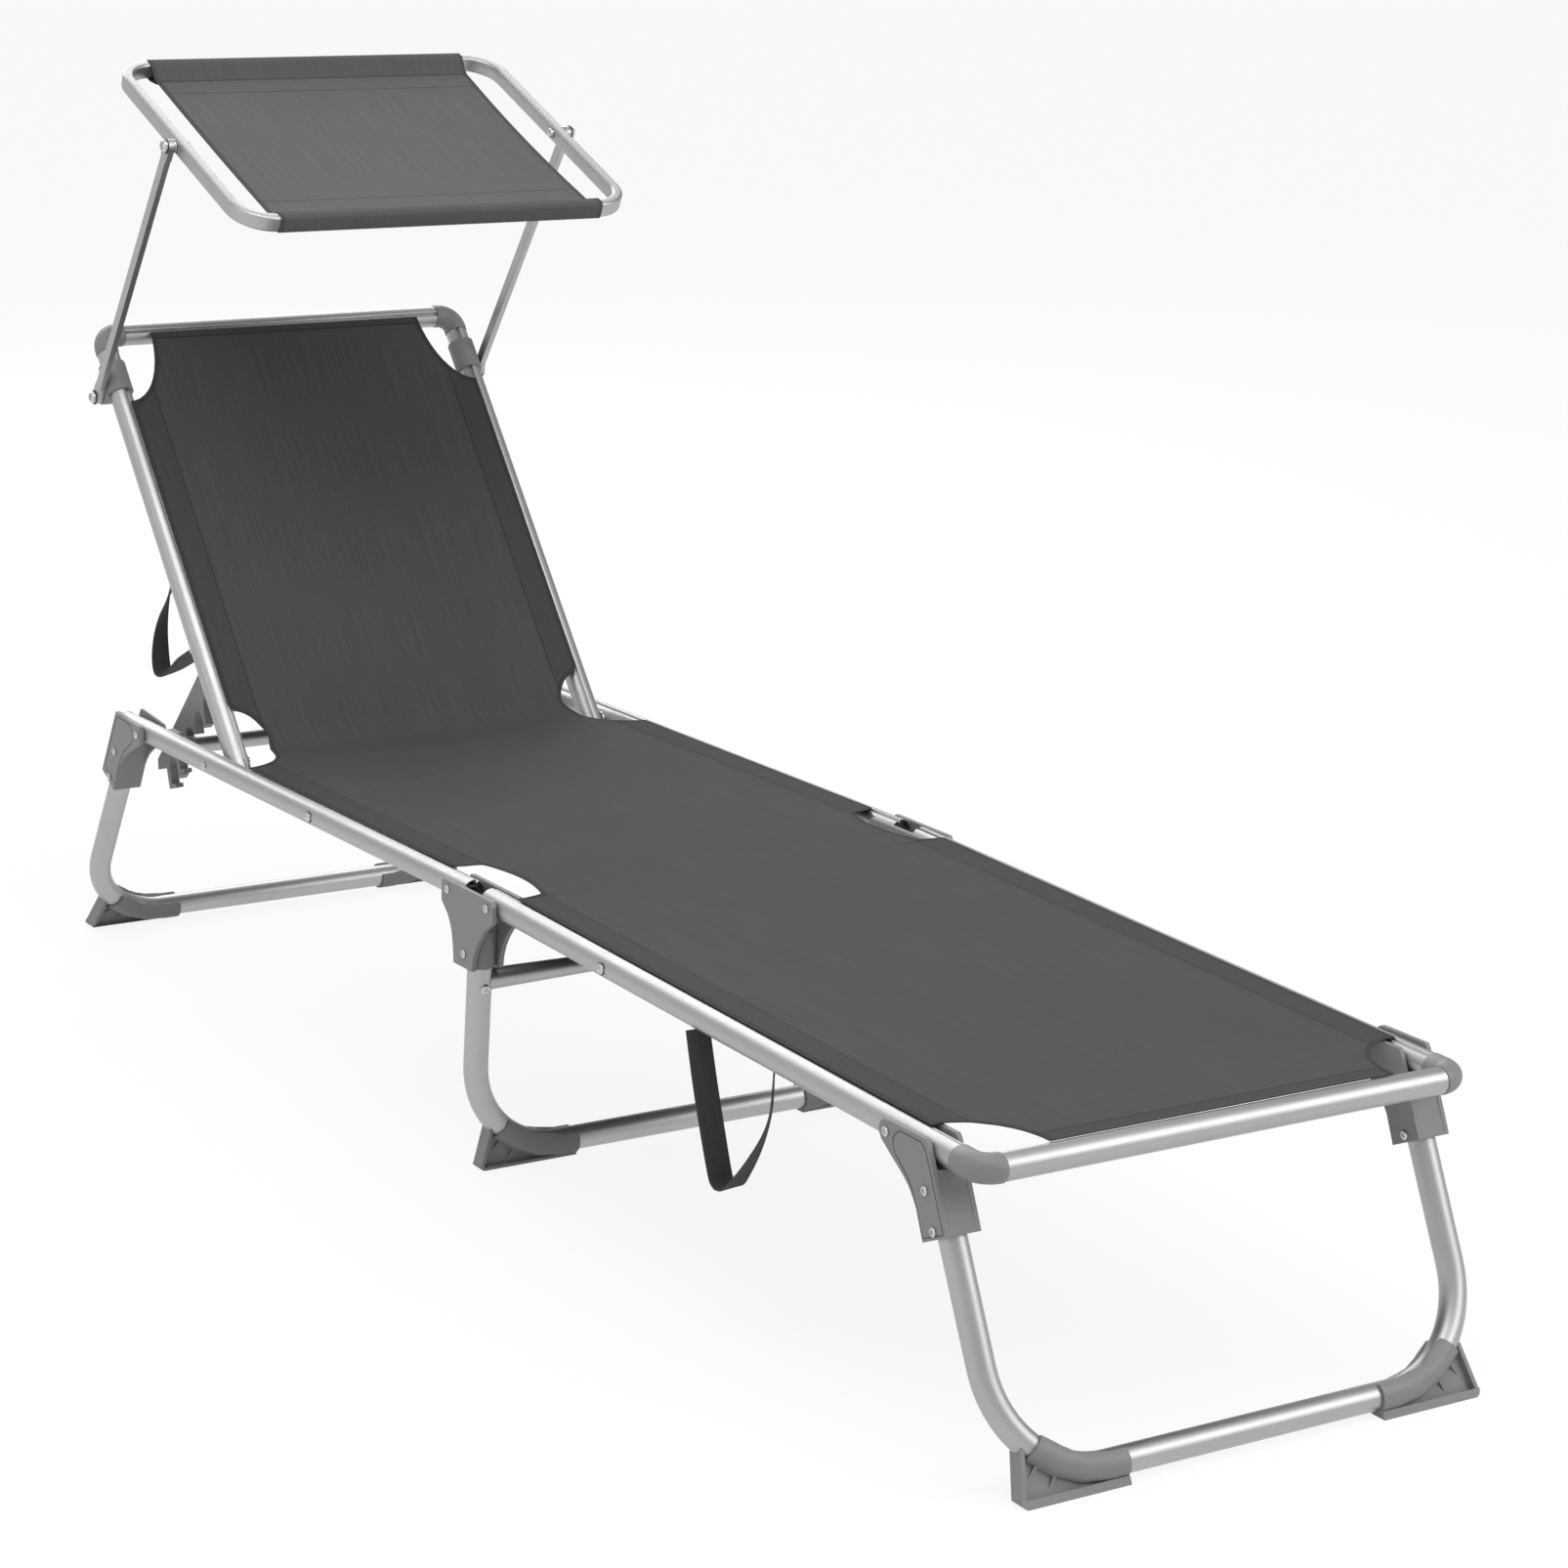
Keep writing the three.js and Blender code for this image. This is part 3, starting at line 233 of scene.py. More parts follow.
def woven(name, colour, across, along, hems=None):
    """Cloth of yarns at a spacing across and along it, with doubled hems drawn darker, bound edges and seams;
    on the canopy's sleeves the hems' darkness is partly painted shade.
    """
    made, tree, shader = material(name, colour, Roughness=0.82, Specular_IOR_Level=0.2)
    place = node(tree, "ShaderNodeUVMap", {"uv_map": "weave"}, {})
    parts = tree.nodes.new("ShaderNodeSeparateXYZ")
    tree.links.new(place.socket, parts.inputs[0])
    u, v = Signal(tree, parts.outputs[0]), Signal(tree, parts.outputs[1])
    warp = (u * (2 * math.pi / across)).sine()
    weft = (v * (2 * math.pi / along)).sine()
    streak_place = node(tree, "ShaderNodeMapping", {}, {0: place, 3: (420.0, 9.0, 1.0)})
    streaks = node(tree, "ShaderNodeTexNoise", {}, {"Vector": streak_place, "Scale": 1.0, "Detail": 1.0})
    cloud_place = node(tree, "ShaderNodeMapping", {}, {0: place, 3: (7.0, 5.0, 1.0)})
    cloud = node(tree, "ShaderNodeTexNoise", {}, {"Vector": cloud_place, "Scale": 1.0, "Detail": 2.0})
    # The yarn waves also paint small highlights on the yarns into the colour; the streaks and cloud are the
    # cloth's own uneven tone
    tone = warp * 0.10 + weft * 0.06 + streaks * 0.9 + cloud * 0.3 - 0.1
    tinted = mixed(tree, tone, shade(colour, 0.78), shade(colour, 1.22))
    height = warp * 0.5 + weft * 0.5
    if hems:
        side, edge, end = (attribute(tree, key) for key in ("side", "edge", "end"))
        band = (side < hems["side"]).at_least(end < hems["end"])
        bound = edge < hems["bound"]
        # Darker hem bands: doubled cloth, and on the canopy's sleeves also painted shade
        tinted = mixed(tree, band * hems["depth"], tinted, shade(colour, 0.55))
        tinted = mixed(tree, bound * 0.55, tinted, shade(colour, 0.45))
        seam = line(side, hems["side"] - SEAM_INSET, SIDE_SEAM).at_least(line(edge, hems["bound"], EDGE_SEAM))
        for seam_place in (hems["end"] - SEAM_INSET, *hems["seams"]):
            seam = seam.at_least(line(end, seam_place, END_SEAM))
        stitches = seam * (((u + v) * STITCH_TURN).sine() * 0.5 + 0.5)
        tinted = mixed(tree, seam * 0.80, tinted, shade(colour, 0.25))
        tinted = mixed(tree, stitches * 0.35, tinted, shade(colour, 1.3))
        height = height - seam * 2.0 + band * 1.5
    feed(tree, shader, "Base Color", tinted)
    bumped(tree, shader, height, 0.30, 0.00025)
    return made


aluminium = satin_metal("satin_aluminium", (0.44, 0.44, 0.444), 0.45)
steel = satin_metal("zinc_steel", (0.56, 0.56, 0.57), 0.26)
plastic = moulded_plastic("grey_plastic", (0.175, 0.176, 0.179), 0.50)
# Dark plastic for the discs under the strut and canopy bolts, and for the rings of painted shade round the
# rail screws
dark_plastic = moulded_plastic("plastic_discs_and_shade_rings", (0.035, 0.035, 0.037), 0.5)
cloth = woven("charcoal_cloth", (0.053, 0.053, 0.054), 0.0011, 0.0013,
              {"side": 0.035, "end": 0.020, "bound": 0.004, "depth": 0.38, "seams": ()})
# The canopy's sleeve bands are drawn darker by their depth: partly doubled cloth, partly painted shade
canopy_cloth = woven("charcoal_canopy", (0.095, 0.095, 0.097), 0.0011, 0.0013,
                     {"side": 0.006, "end": 0.033, "bound": 0.0015, "depth": 0.50, "seams": (0.058,)})
webbing = woven("dark_webbing", (0.052, 0.052, 0.054), 0.0016, 0.0022)


# Modelling helpers
def primitive(kind, **settings):
    bpy.ops.object.select_all(action="DESELECT")
    getattr(mesh_ops, f"primitive_{kind}_add")(**settings)
    return bpy.context.object


def only(obj):
    bpy.ops.object.select_all(action="DESELECT")
    obj.select_set(True)
    bpy.context.view_layer.objects.active = obj


def editing(obj, *steps):
    """Runs edit-mode steps on all of a piece's mesh."""
    only(obj)
    bpy.ops.object.mode_set(mode="EDIT")
    mesh_ops.select_all(action="SELECT")
    for step in steps:
        step()
    bpy.ops.object.mode_set(mode="OBJECT")


def outward():
    mesh_ops.normals_make_consistent(inside=False)


def settled(obj):
    """Puts a piece's place, turn and scale into its mesh."""
    only(obj)
    bpy.ops.object.transform_apply(location=True, rotation=True, scale=True)
    return obj


def modified(obj, kind, **settings):
    only(obj)
    modifier = obj.modifiers.new(kind.lower(), kind)
    for key, value in settings.items():
        setattr(modifier, key, value)
    bpy.ops.object.modifier_apply(modifier=modifier.name)
    return obj


def rounded(obj, width, angle=35, segments=2):
    return modified(obj, "BEVEL", width=width, segments=segments, limit_method="ANGLE",
                    angle_limit=math.radians(angle))


def joined(*objs):
    only(objs[0])
    for obj in objs:
        obj.select_set(True)
    bpy.ops.object.join()
    return bpy.context.object


def dressed(obj, name, body, look, replaces=(), smooth=35):
    """Names a finished piece, gives it its material and makes it ride on a body."""
    only(obj)
    bpy.ops.object.shade_smooth_by_angle(angle=math.radians(smooth))
    obj.name = name
    obj.data.name = name
    obj.data.materials.clear()
    obj.data.materials.append(look)
    if replaces:
        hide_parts(*replaces)
    if body:
        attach(obj, body)
    return obj


def finished(obj, name, section, look, replaces=(), smooth=35):
    """Puts a piece that was made in a section's frame in its place, and dresses it."""
    obj.matrix_world = section.matrix @ obj.matrix_world
    return dressed(settled(obj), name, section.body, look, replaces, smooth)


ALONG_Y = (math.pi / 2, 0, 0)
ALONG_X = (0, math.pi / 2, 0)
ALONG_Z = (0, 0, 0)


def run(obj, *legs):
    """Draws a ring of edges along straight legs (x, y, z) and bends (centre, axis, degrees, steps)."""
    only(obj)
    bpy.ops.object.mode_set(mode="EDIT")
    mesh_ops.select_all(action="SELECT")
    for leg in legs:
        if len(leg) == 3:
            mesh_ops.extrude_region_move(TRANSFORM_OT_translate={"value": leg})
        else:
            centre, axis, degrees, steps = leg
            mesh_ops.spin(steps=steps, angle=-math.radians(degrees), center=centre, axis=axis)
    mesh_ops.select_all(action="SELECT")
    mesh_ops.remove_doubles(threshold=0.00001)
    outward()
    bpy.ops.object.mode_set(mode="OBJECT")
    return obj


def ring(centre, turn, radius, sides=40, stretch=(0, 0, 0)):
    """A ring of edges, drawn out to a rounded rectangle by a stretch along its axes."""
    obj = settled(primitive("circle", radius=radius, vertices=sides, location=centre, rotation=turn))
    for vertex in obj.data.vertices:
        for axis, amount in enumerate(stretch):
            offset = vertex.co[axis] - centre[axis]
            if amount and abs(offset) > 0.000001:
                vertex.co[axis] += math.copysign(amount, offset)
    return obj


SLOT_SHIFT, SLOT_RISE, SLOT_SHARE = 0.0042, 0.0118, 0.76


def grooved(obj, centre, across, up):
    """Presses the slot that holds the cloth's edge into a ring, at a point a little inside its top."""
    target = Vector(centre) + Vector(across) * SLOT_SHIFT + Vector(up) * SLOT_RISE
    nearest = min(obj.data.vertices, key=lambda vertex: (vertex.co - target).length)
    nearest.co = Vector(centre) + (nearest.co - Vector(centre)) * SLOT_SHARE
    return obj


def walled(obj, thickness=WALL):
    return modified(obj, "SOLIDIFY", thickness=thickness, offset=-1)


# Straight tubes
def straight_tube(name, section, start, leg, node_name=None, radius=TUBE, groove=None):
    turn = ALONG_X if abs(leg[0]) > 0 else ALONG_Y
    obj = ring(start, turn, radius)
    if groove:
        grooved(obj, start, *groove)
    run(obj, leg)
    walled(obj)
    rounded(obj, 0.0003, 50, 1)
    return finished(obj, name, section, aluminium, (node_name or name,))


for side, word in SIDES:
    inside = ((-side, 0, 0), (0, 0, 1))
    x = side * RAIL_X
    straight_tube(f"{word}_rear_rail_tube", seat, (x, -STUB, 0), (0, SEAT_LENGTH + STUB, 0),
                  f"{word}_rear_rail", groove=inside)
    straight_tube(f"{word}_front_rail_tube", front, (x, STUB, 0),
                  (0, -FRONT_LENGTH + FRONT_REACH - STUB, 0), f"{word}_front_rail", groove=inside)
    x = side * BACK_X
    straight_tube(f"{word}_backrest_side_tube", back, (x, -BACK_TAIL, 0),
                  (0, BACK_LENGTH - TOP_REACH + BACK_TAIL, 0), f"{word}_backrest_tube", groove=inside)
FRONT_BAR_HALF = 0.2365
straight_tube("front_bar_tube", front, (-FRONT_BAR_HALF, -FRONT_LENGTH, 0), (2 * FRONT_BAR_HALF, 0, 0),
              "front_bar", groove=((0, 1, 0), (0, 0, 1)))
TOP_BAR_HALF = BACK_X - TOP_REACH
straight_tube("top_bar_tube", back, (-TOP_BAR_HALF, BACK_LENGTH, 0), (2 * TOP_BAR_HALF, 0, 0), "top_bar",
              groove=((0, -1, 0), (0, 0, 1)))
CROSS_BAR_HALF = 0.2368
CROSS_BAR_PLACE = (0.735, -0.0143)
CROSS_BAR_RADIUS = 0.010
straight_tube("cross_bar_tube", seat, (-CROSS_BAR_HALF, *CROSS_BAR_PLACE), (2 * CROSS_BAR_HALF, 0, 0),
              "cross_bar", radius=CROSS_BAR_RADIUS)


def stretcher():
    """The bar between the middle legs: it narrows to its middle, and its ends are hollowed for the legs."""
    half, taper, drop, shift = RAIL_X - TUBE / 2, 0.114, -0.088, -0.0336
    end_radius, middle_share = 0.011, 9 / 11
    obj = ring((-half, shift, drop), ALONG_X, end_radius)
    run(obj, (taper, 0, 0), (2 * (half - taper), 0, 0), (taper, 0, 0))
    for vertex in obj.data.vertices:
        if abs(vertex.co.x) < half - taper / 2:
            vertex.co.y = shift + (vertex.co.y - shift) * middle_share
            vertex.co.z = drop + (vertex.co.z - drop) * middle_share
    walled(obj)
    for side, _ in SIDES:
        leg = settled(primitive("cylinder", vertices=48, radius=TUBE + GAP, depth=0.06,
                                location=(side * RAIL_X, shift, drop),
                                rotation=(math.radians(MID_LEAN), 0, 0)))
        modified(obj, "BOOLEAN", object=leg, operation="DIFFERENCE", solver="EXACT")
        bpy.data.objects.remove(leg)
    return finished(obj, "mid_stretcher_tube", middle, aluminium, ("mid_stretcher",))


stretcher()


# Plugs in the open ends of the rear rails and of the backrest's side tubes
CAP_DEPTH, CAP_PLACE, CAP_ROUND = 0.0022, 0.0012, 0.0008
STEM_DEPTH, STEM_PLACE, STEM_PLAY = 0.012, 0.0055, 0.0002


def end_plug(name, section, x, y, facing):
    obj = primitive("cylinder", vertices=32, radius=TUBE, depth=CAP_DEPTH,
                    location=(x, y + facing * CAP_PLACE, 0), rotation=ALONG_Y)
    rounded(settled(obj), CAP_ROUND)
    stem = primitive("cylinder", vertices=24, radius=TUBE - WALL - STEM_PLAY, depth=STEM_DEPTH,
                     location=(x, y - facing * STEM_PLACE, 0), rotation=ALONG_Y)
    return finished(joined(obj, settled(stem)), name, section, plastic)


for side, word in SIDES:
    end_plug(f"{word}_rail_plug", seat, side * RAIL_X, SEAT_LENGTH, 1)
    end_plug(f"{word}_backrest_plug", back, side * BACK_X, -BACK_TAIL, -1)


# Bent leg tubes
def leg_tube(name, section, top, length):
    obj = ring((-RAIL_X, 0, -top), ALONG_Z, TUBE)
    low = -length + LEG_BEND
    reach = RAIL_X - LEG_BEND
    run(obj, (0, 0, low + top), ((-reach, 0, low), (0, -1, 0), 90, 18), (2 * reach, 0, 0),
        ((reach, 0, low), (0, -1, 0), 90, 18), (0, 0, -low - top))
    walled(obj)
    return finished(obj, f"{name}_leg_bow", section, aluminium, (f"{name}_leg_tube",))


LEG_TUBES = (("front", front_leg, LEG_TOP, 0.30916), ("rear", rear_leg, LEG_TOP, 0.33491),
             ("mid", middle_leg, MID_LEG_TOP, 0.27775))
for row in LEG_TUBES:
    leg_tube(*row)


# Elbows at the front bar and the top bar
ELBOW_RADIUS = 0.0133
ELBOW_WALL = 0.0035
FRONT_BEND = 0.017
TOP_BEND = 0.018


def elbow(name, section, side, x, y, reach, bend, bar_half, direction, node_name):
    """A quarter bend from the end of a side tube to the end of the bar."""
    start = (side * x, y - direction * (reach - GAP), 0)
    obj = ring(start, ALONG_Y, ELBOW_RADIUS)
    centre = (side * (x - bend), y - direction * bend, 0)
    run(obj, (0, direction * (reach - GAP - bend), 0), (centre, (0, 0, side * direction), 90, 16),
        (-side * (x - bend - bar_half - GAP), 0, 0))
    walled(obj, ELBOW_WALL)
    rounded(obj, 0.0006, 50)
    return finished(obj, name, section, plastic, (node_name,))


for side, word in SIDES:
    elbow(f"{word}_front_corner", front, side, RAIL_X, -FRONT_LENGTH, FRONT_REACH, FRONT_BEND,
          FRONT_BAR_HALF, -1, f"{word}_front_elbow")
    elbow(f"{word}_top_corner", back, side, BACK_X, BACK_LENGTH, TOP_REACH, TOP_BEND,
          TOP_BAR_HALF, 1, f"{word}_top_elbow")


# Moulded pieces: the part's own forms with rounded edges
GROOVE_WIDTH = 0.0014
GROOVE_THICKNESS = 0.0020
MERGE_DISTANCE = 0.00002
EDGE_ROUND = 0.0008


def panel_groove(section, side, outline):
    """A ring that cuts the fine groove framing the raised panel on a bracket's outer face."""
    obj = primitive("circle", vertices=len(outline), radius=1, fill_type="NGON")
    settled(obj)
    for vertex, (y, z) in zip(obj.data.vertices, outline):
        vertex.co = section.place(side * (RAIL_X + PLATE_OUTER), y, z)
    editing(obj, lambda: mesh_ops.inset(thickness=GROOVE_WIDTH, depth=0),
            lambda: mesh_ops.delete(type="FACE"))
    modified(obj, "SOLIDIFY", thickness=GROOVE_THICKNESS, offset=0)
    editing(obj, outward)
    return obj


def moulded(name, node_name, look, body, width=EDGE_ROUND, cutter=None):
    source = bpy.data.objects[node_name]
    obj = source.copy()
    obj.data = source.data.copy()
    obj.parent = None
    obj.hide_render = False
    obj.hide_viewport = False
    for key in list(obj.keys()):
        del obj[key]
    bpy.context.collection.objects.link(obj)
    obj.modifiers.clear()
    editing(obj, lambda: mesh_ops.remove_doubles(threshold=MERGE_DISTANCE),
            lambda: mesh_ops.dissolve_limited(angle_limit=math.radians(1)), outward)
    rounded(obj, width, 28)
    if cutter:
        modified(obj, "BOOLEAN", object=cutter, operation="DIFFERENCE", solver="EXACT")
        bpy.data.objects.remove(cutter)
    dressed(obj, name, body, look, (node_name,))
    return modified(obj, "WEIGHTED_NORMAL", keep_sharp=True)


# Panel outlines of the outer brackets, outwards and up from the pivot
FRONT_PANEL = ((0.0185, 0.0070), (0.0365, 0.0072), (0.0526, 0.0068), (0.0575, 0.0030), (0.0628, -0.0061),
               (0.0689, -0.0191), (0.0751, -0.0331), (0.0813, -0.0471), (0.0893, -0.0640), (0.0587, -0.0771),
               (0.0557, -0.0706), (0.0514, -0.0601), (0.0462, -0.0488), (0.0412, -0.0397), (0.0334, -0.0303),
               (0.0239, -0.0226), (0.0144, -0.0158), (0.0104, -0.0085), (0.0108, -0.0008))
PANELS = {"front": (front_bracket, -1, 0), "rear": (rear_bracket, 1, REAR_LEAN - FRONT_LEAN)}


def panel_outline(out, tilt):
    turn = math.radians(tilt)
    return [(out * (a * math.cos(turn) - b * math.sin(turn)), a * math.sin(turn) + b * math.cos(turn))
            for a, b in FRONT_PANEL]


for side, word in SIDES:
    for leg, body in (("rear", "rear_leg"), ("mid", "mid_support"), ("front", "front_leg")):
        moulded(f"{word}_{leg}_shoe", f"{word}_{leg}_foot", plastic, body)
        groove = None
        if leg in PANELS:
            section, out, tilt = PANELS[leg]
            groove = panel_groove(section, side, panel_outline(out, tilt))
        moulded(f"{word}_{leg}_joint", f"{word}_{leg}_bracket", plastic, body, cutter=groove)
    moulded(f"{word}_bar_holder", f"{word}_cross_bar_holder", plastic, "seat_frame", 0.0004)
    moulded(f"{word}_clamp", f"{word}_canopy_clamp", plastic, "backrest", 0.0005)
    moulded(f"{word}_toothed_arm", f"{word}_rack_arm", plastic, "rack", 0.0006)
    moulded(f"{word}_strut", f"{word}_canopy_strut", aluminium, "canopy_struts", 0.0024)


# Canopy frame: one flat tube with rounded edges, bent to a rounded rectangle
CANOPY_TUBE_CORNER = 0.0035
CANOPY_TUBE_STRETCH = (0, 0.0025, 0.0055)
CANOPY_TUBE_HALF = CANOPY_TUBE_CORNER + CANOPY_TUBE_STRETCH[1]


def canopy_bow():
    obj = ring((0, CANOPY_REAR, 0), ALONG_X, CANOPY_TUBE_CORNER, stretch=CANOPY_TUBE_STRETCH)
    x = CANOPY_X - CANOPY_BEND
    rear, fore = CANOPY_REAR - CANOPY_BEND, CANOPY_FRONT + CANOPY_BEND

    def corner(side_x, end_y):
        return (side_x, end_y, 0), (0, 0, -1), 90, 14

    run(obj, (x, 0, 0), corner(x, rear), (0, fore - rear, 0), corner(x, fore), (-2 * x, 0, 0),
        corner(-x, fore), (0, rear - fore, 0), corner(-x, rear), (x, 0, 0))
    walled(obj)
    finished(obj, "canopy_bow", canopy, aluminium, ("canopy_frame",))
    return modified(obj, "WEIGHTED_NORMAL", keep_sharp=True)


canopy_bow()


# Rivets, screws and bolts. A head steps in by shares of its radius and up by shares of its depth
HEAD_BASE = 0.45
HEAD_STEPS = ((0.12, 0.26), (0.18, 0.18))
RIM_STEP = (0.22, 0.05)
TOP_STEP = (0.28, 0.09)
DISH_STEP = 0.08


def headed(radius, depth, at, turn, dish=0.0):
    """A domed head whose flat side lies at a point, with a hollow in its middle where it has a dish."""
    obj = settled(primitive("cylinder", vertices=28, radius=radius, depth=depth * HEAD_BASE,
                            location=(0, 0, depth * HEAD_BASE / 2)))
    editing(obj, lambda: mesh_ops.select_mode(type="FACE"), lambda: mesh_ops.select_all(action="DESELECT"))
    for face in obj.data.polygons:
        face.select = face.normal.z > 0.9
    bpy.ops.object.mode_set(mode="EDIT")
    for inwards, upwards in (*HEAD_STEPS, RIM_STEP if dish else TOP_STEP):
        mesh_ops.inset(thickness=radius * inwards, depth=depth * upwards)
    if dish:
        mesh_ops.inset(thickness=radius * DISH_STEP, depth=-dish)
    bpy.ops.object.mode_set(mode="OBJECT")
    obj.rotation_euler = turn
    obj.location = at
    return settled(obj)


def across(side):
    return (0, math.pi / 2 * side, 0)


def shaft(radius, low, high, y, z):
    obj = primitive("cylinder", vertices=24, radius=radius, depth=high - low, rotation=ALONG_X,
                    location=((low + high) / 2, y, z))
    return rounded(settled(obj), min(SHAFT_ROUND, (high - low) / 4))


SHAFT_ROUND = 0.0004
PIN_RADIUS = 0.0030
COLLAR_RADIUS = 0.0075
RIVET_HEAD = 0.0046
HEAD_DEPTH = 0.0018
DISH = 0.0011


def pin(name, section, side, inner, outer, y, z, heads, replaces=(), collar=None,
        depths=(HEAD_DEPTH, HEAD_DEPTH), dishes=(DISH, DISH)):
    """A pin across the lounger from an inner to an outer distance, with a head at each end or at one."""
    low, high = sorted((side * inner, side * outer))
    parts = [shaft(PIN_RADIUS, low, high, y, z)]
    if heads[0]:
        parts.append(headed(heads[0], depths[0], (side * inner, y, z), across(-side), dishes[0]))
    if heads[1]:
        parts.append(headed(heads[1], depths[1], (side * outer, y, z), across(side), dishes[1]))
    if collar:
        parts.append(shaft(COLLAR_RADIUS, *sorted((side * collar[0], side * collar[1])), y, z))
    return finished(joined(*parts), name, section, steel, replaces)


HEADS = (RIVET_HEAD, RIVET_HEAD)
SUNK_HEAD_X = 0.2411
REAR_RECESS = 0.0026
STRUT_HEAD, STRUT_DISH = 0.0066, 0.0022
CANOPY_HEAD, CANOPY_DISH = 0.0072, 0.0024
CANOPY_NUT, NUT_DEPTH = 0.0056, 0.0040
BOLT_DEPTH = 0.0060
CANOPY_COLLAR_X = 0.2407
BOLT_WASHER = 0.0084
LEG_RIVET_HEAD, LEG_RIVET_SHAFT = 0.0044, 0.0028
INNER_DEPTH, LEG_RIVET_DISH = 0.0016, 0.0012
SCREW_DEPTH = 0.0022
# The rail screws' head radius, and the radius of the ring of painted shade round each head
RAIL_SCREW, RAIL_SHADE_RING = 0.0054, 0.0064
RAIL_SCREWS = (("rear", seat, 0.322), ("front", front, -0.213))
STRETCHER_SCREW = 0.0052
STRETCHER_SCREW_PLACE = (-0.0453, -0.0942)
# Rivets that hold each leg in its bracket, outwards and up from the pivot
LEG_RIVETS = {"front": (front_bracket, -1, ((0.0596, -0.0338), (0.0740, -0.0655))),
              "rear": (rear_bracket, 1, ((0.0640, -0.0330), (0.0810, -0.0665))),
              "mid": (middle, 1, ((-0.0343, -0.0580),))}


def leg_rivets(side, word, leg, inner, outer):
    """The rivets of one leg: the rear ones have no inner heads, which the lowered backrest would meet."""
    section, out, places = LEG_RIVETS[leg]
    rivets = []
    for y, z in places:
        rivets.append(headed(LEG_RIVET_HEAD, HEAD_DEPTH, (side * outer, out * y, z), across(side),
                             LEG_RIVET_DISH))
        if leg != "rear":
            rivets.append(headed(LEG_RIVET_HEAD, INNER_DEPTH, (side * inner, out * y, z), across(-side),
                                 LEG_RIVET_DISH))
        rivets.append(shaft(LEG_RIVET_SHAFT, *sorted((side * (inner + 0.001), side * outer)), out * y, z))
    finished(joined(*rivets), f"{word}_{leg}_rivets", section, steel)


# A dark plastic disc across the lounger: under the strut and canopy bolts, and round the rail screws as a
# ring of painted shade
def dark_disc(name, section, side, radius, inner, outer, y=0):
    obj = shaft(radius, *sorted((side * inner, side * outer)), y, 0)
    finished(obj, name, section, dark_plastic)


PLATES = (RAIL_X - PLATE_OUTER - GAP, RAIL_X + PLATE_OUTER + GAP)
REAR_PLATES = (RAIL_X - PLATE_OUTER + REAR_RECESS, PLATES[1])
BOLT_END = STRUT_INNER + STRUT_THICKNESS + GAP
RAIL_SIDE = RAIL_X + TUBE
for side, word in SIDES:
    pin(f"{word}_front_pivot", front_bracket, side, *PLATES, 0, 0, HEADS, (f"{word}_front_leg_rivet",))
    pin(f"{word}_rear_pivot", rear_bracket, side, SUNK_HEAD_X, PLATES[1], 0, 0, HEADS,
        (f"{word}_rear_leg_rivet",), dishes=(0, DISH))
    pin(f"{word}_rear_hinge_pin", middle, side, *PLATES, 0, 0, HEADS, (f"{word}_rear_hinge_rivet",))
    pin(f"{word}_front_hinge_pin", middle, side, *PLATES, -HINGE_SPACING, 0, HEADS,
        (f"{word}_front_hinge_rivet",))
    pin(f"{word}_backrest_pivot", seat, side, BACK_X - TUBE - GAP, RAIL_SIDE + GAP, BACK_PLACE, 0,
        HEADS, (f"{word}_backrest_bolt",), (BACK_X + TUBE + GAP, RAIL_X - TUBE - GAP))
    pin(f"{word}_strut_pivot", struts, side, BACK_X + TUBE + GAP, BOLT_END, 0, 0, (0, STRUT_HEAD),
        (f"{word}_strut_bolt",), None, (0, BOLT_DEPTH), (0, STRUT_DISH))
    pin(f"{word}_canopy_pivot", canopy, side, CANOPY_X - CANOPY_TUBE_HALF - GAP, BOLT_END, 0, 0,
        (CANOPY_NUT, CANOPY_HEAD), (f"{word}_canopy_bolt",), (CANOPY_COLLAR_X, STRUT_INNER - GAP),
        (NUT_DEPTH, BOLT_DEPTH), (0, CANOPY_DISH))
    leg_rivets(side, word, "front", *PLATES)
    leg_rivets(side, word, "rear", *REAR_PLATES)
    leg_rivets(side, word, "mid", *PLATES)
    for name, section, y in RAIL_SCREWS:
        screw = headed(RAIL_SCREW, SCREW_DEPTH, (side * (RAIL_SIDE - GAP), y, 0), across(side), DISH)
        finished(screw, f"{word}_{name}_rail_screw", section, steel)
        # A dark ring round each rail screw's head: painted shade of the gap under the head
        dark_disc(f"{word}_{name}_rail_shade_ring", section, side, RAIL_SHADE_RING, RAIL_SIDE - 3 * GAP,
               RAIL_SIDE + GAP, y)
    screw = headed(STRETCHER_SCREW, SCREW_DEPTH, (side * RAIL_X, *STRETCHER_SCREW_PLACE), ALONG_Y, DISH)
    finished(screw, f"{word}_stretcher_screw", middle, steel)
    for name, section in (("strut", struts), ("canopy", canopy)):
        dark_disc(f"{word}_{name}_washer", section, side, BOLT_WASHER, BOLT_END - 0.0004, BOLT_END + 0.0010)


# Cloth: the depth and length of each corner cut, and the depth, rise, reach and end of the hinge's cut
HINGE_CUT = (0.040, 0.010, 0.058, 0.006)
FRONT_CUT = (0.067, 0.076)
SEAT_CUT = (0.056, 0.068)
BACK_CUT = (0.035, 0.044)
TOP_CUT = (0.051, 0.098)
SHEET_X = 0.252
BACK_SHEET_X = 0.2235
SEAT_END = 0.567
BACK_START = 0.012
FOLD_RADIUS = 0.060
fold_angle = math.radians(BACK_SLOPE - SEAT_SLOPE)
fold_reach = FOLD_RADIUS * math.tan(fold_angle / 2) + SHEET_RISE * math.tan(fold_angle / 2)
FRONT_END = -HINGE_SPACING - FRONT_LENGTH + 0.003
SHEET_END = BACK_PLACE + BACK_LENGTH + 0.003


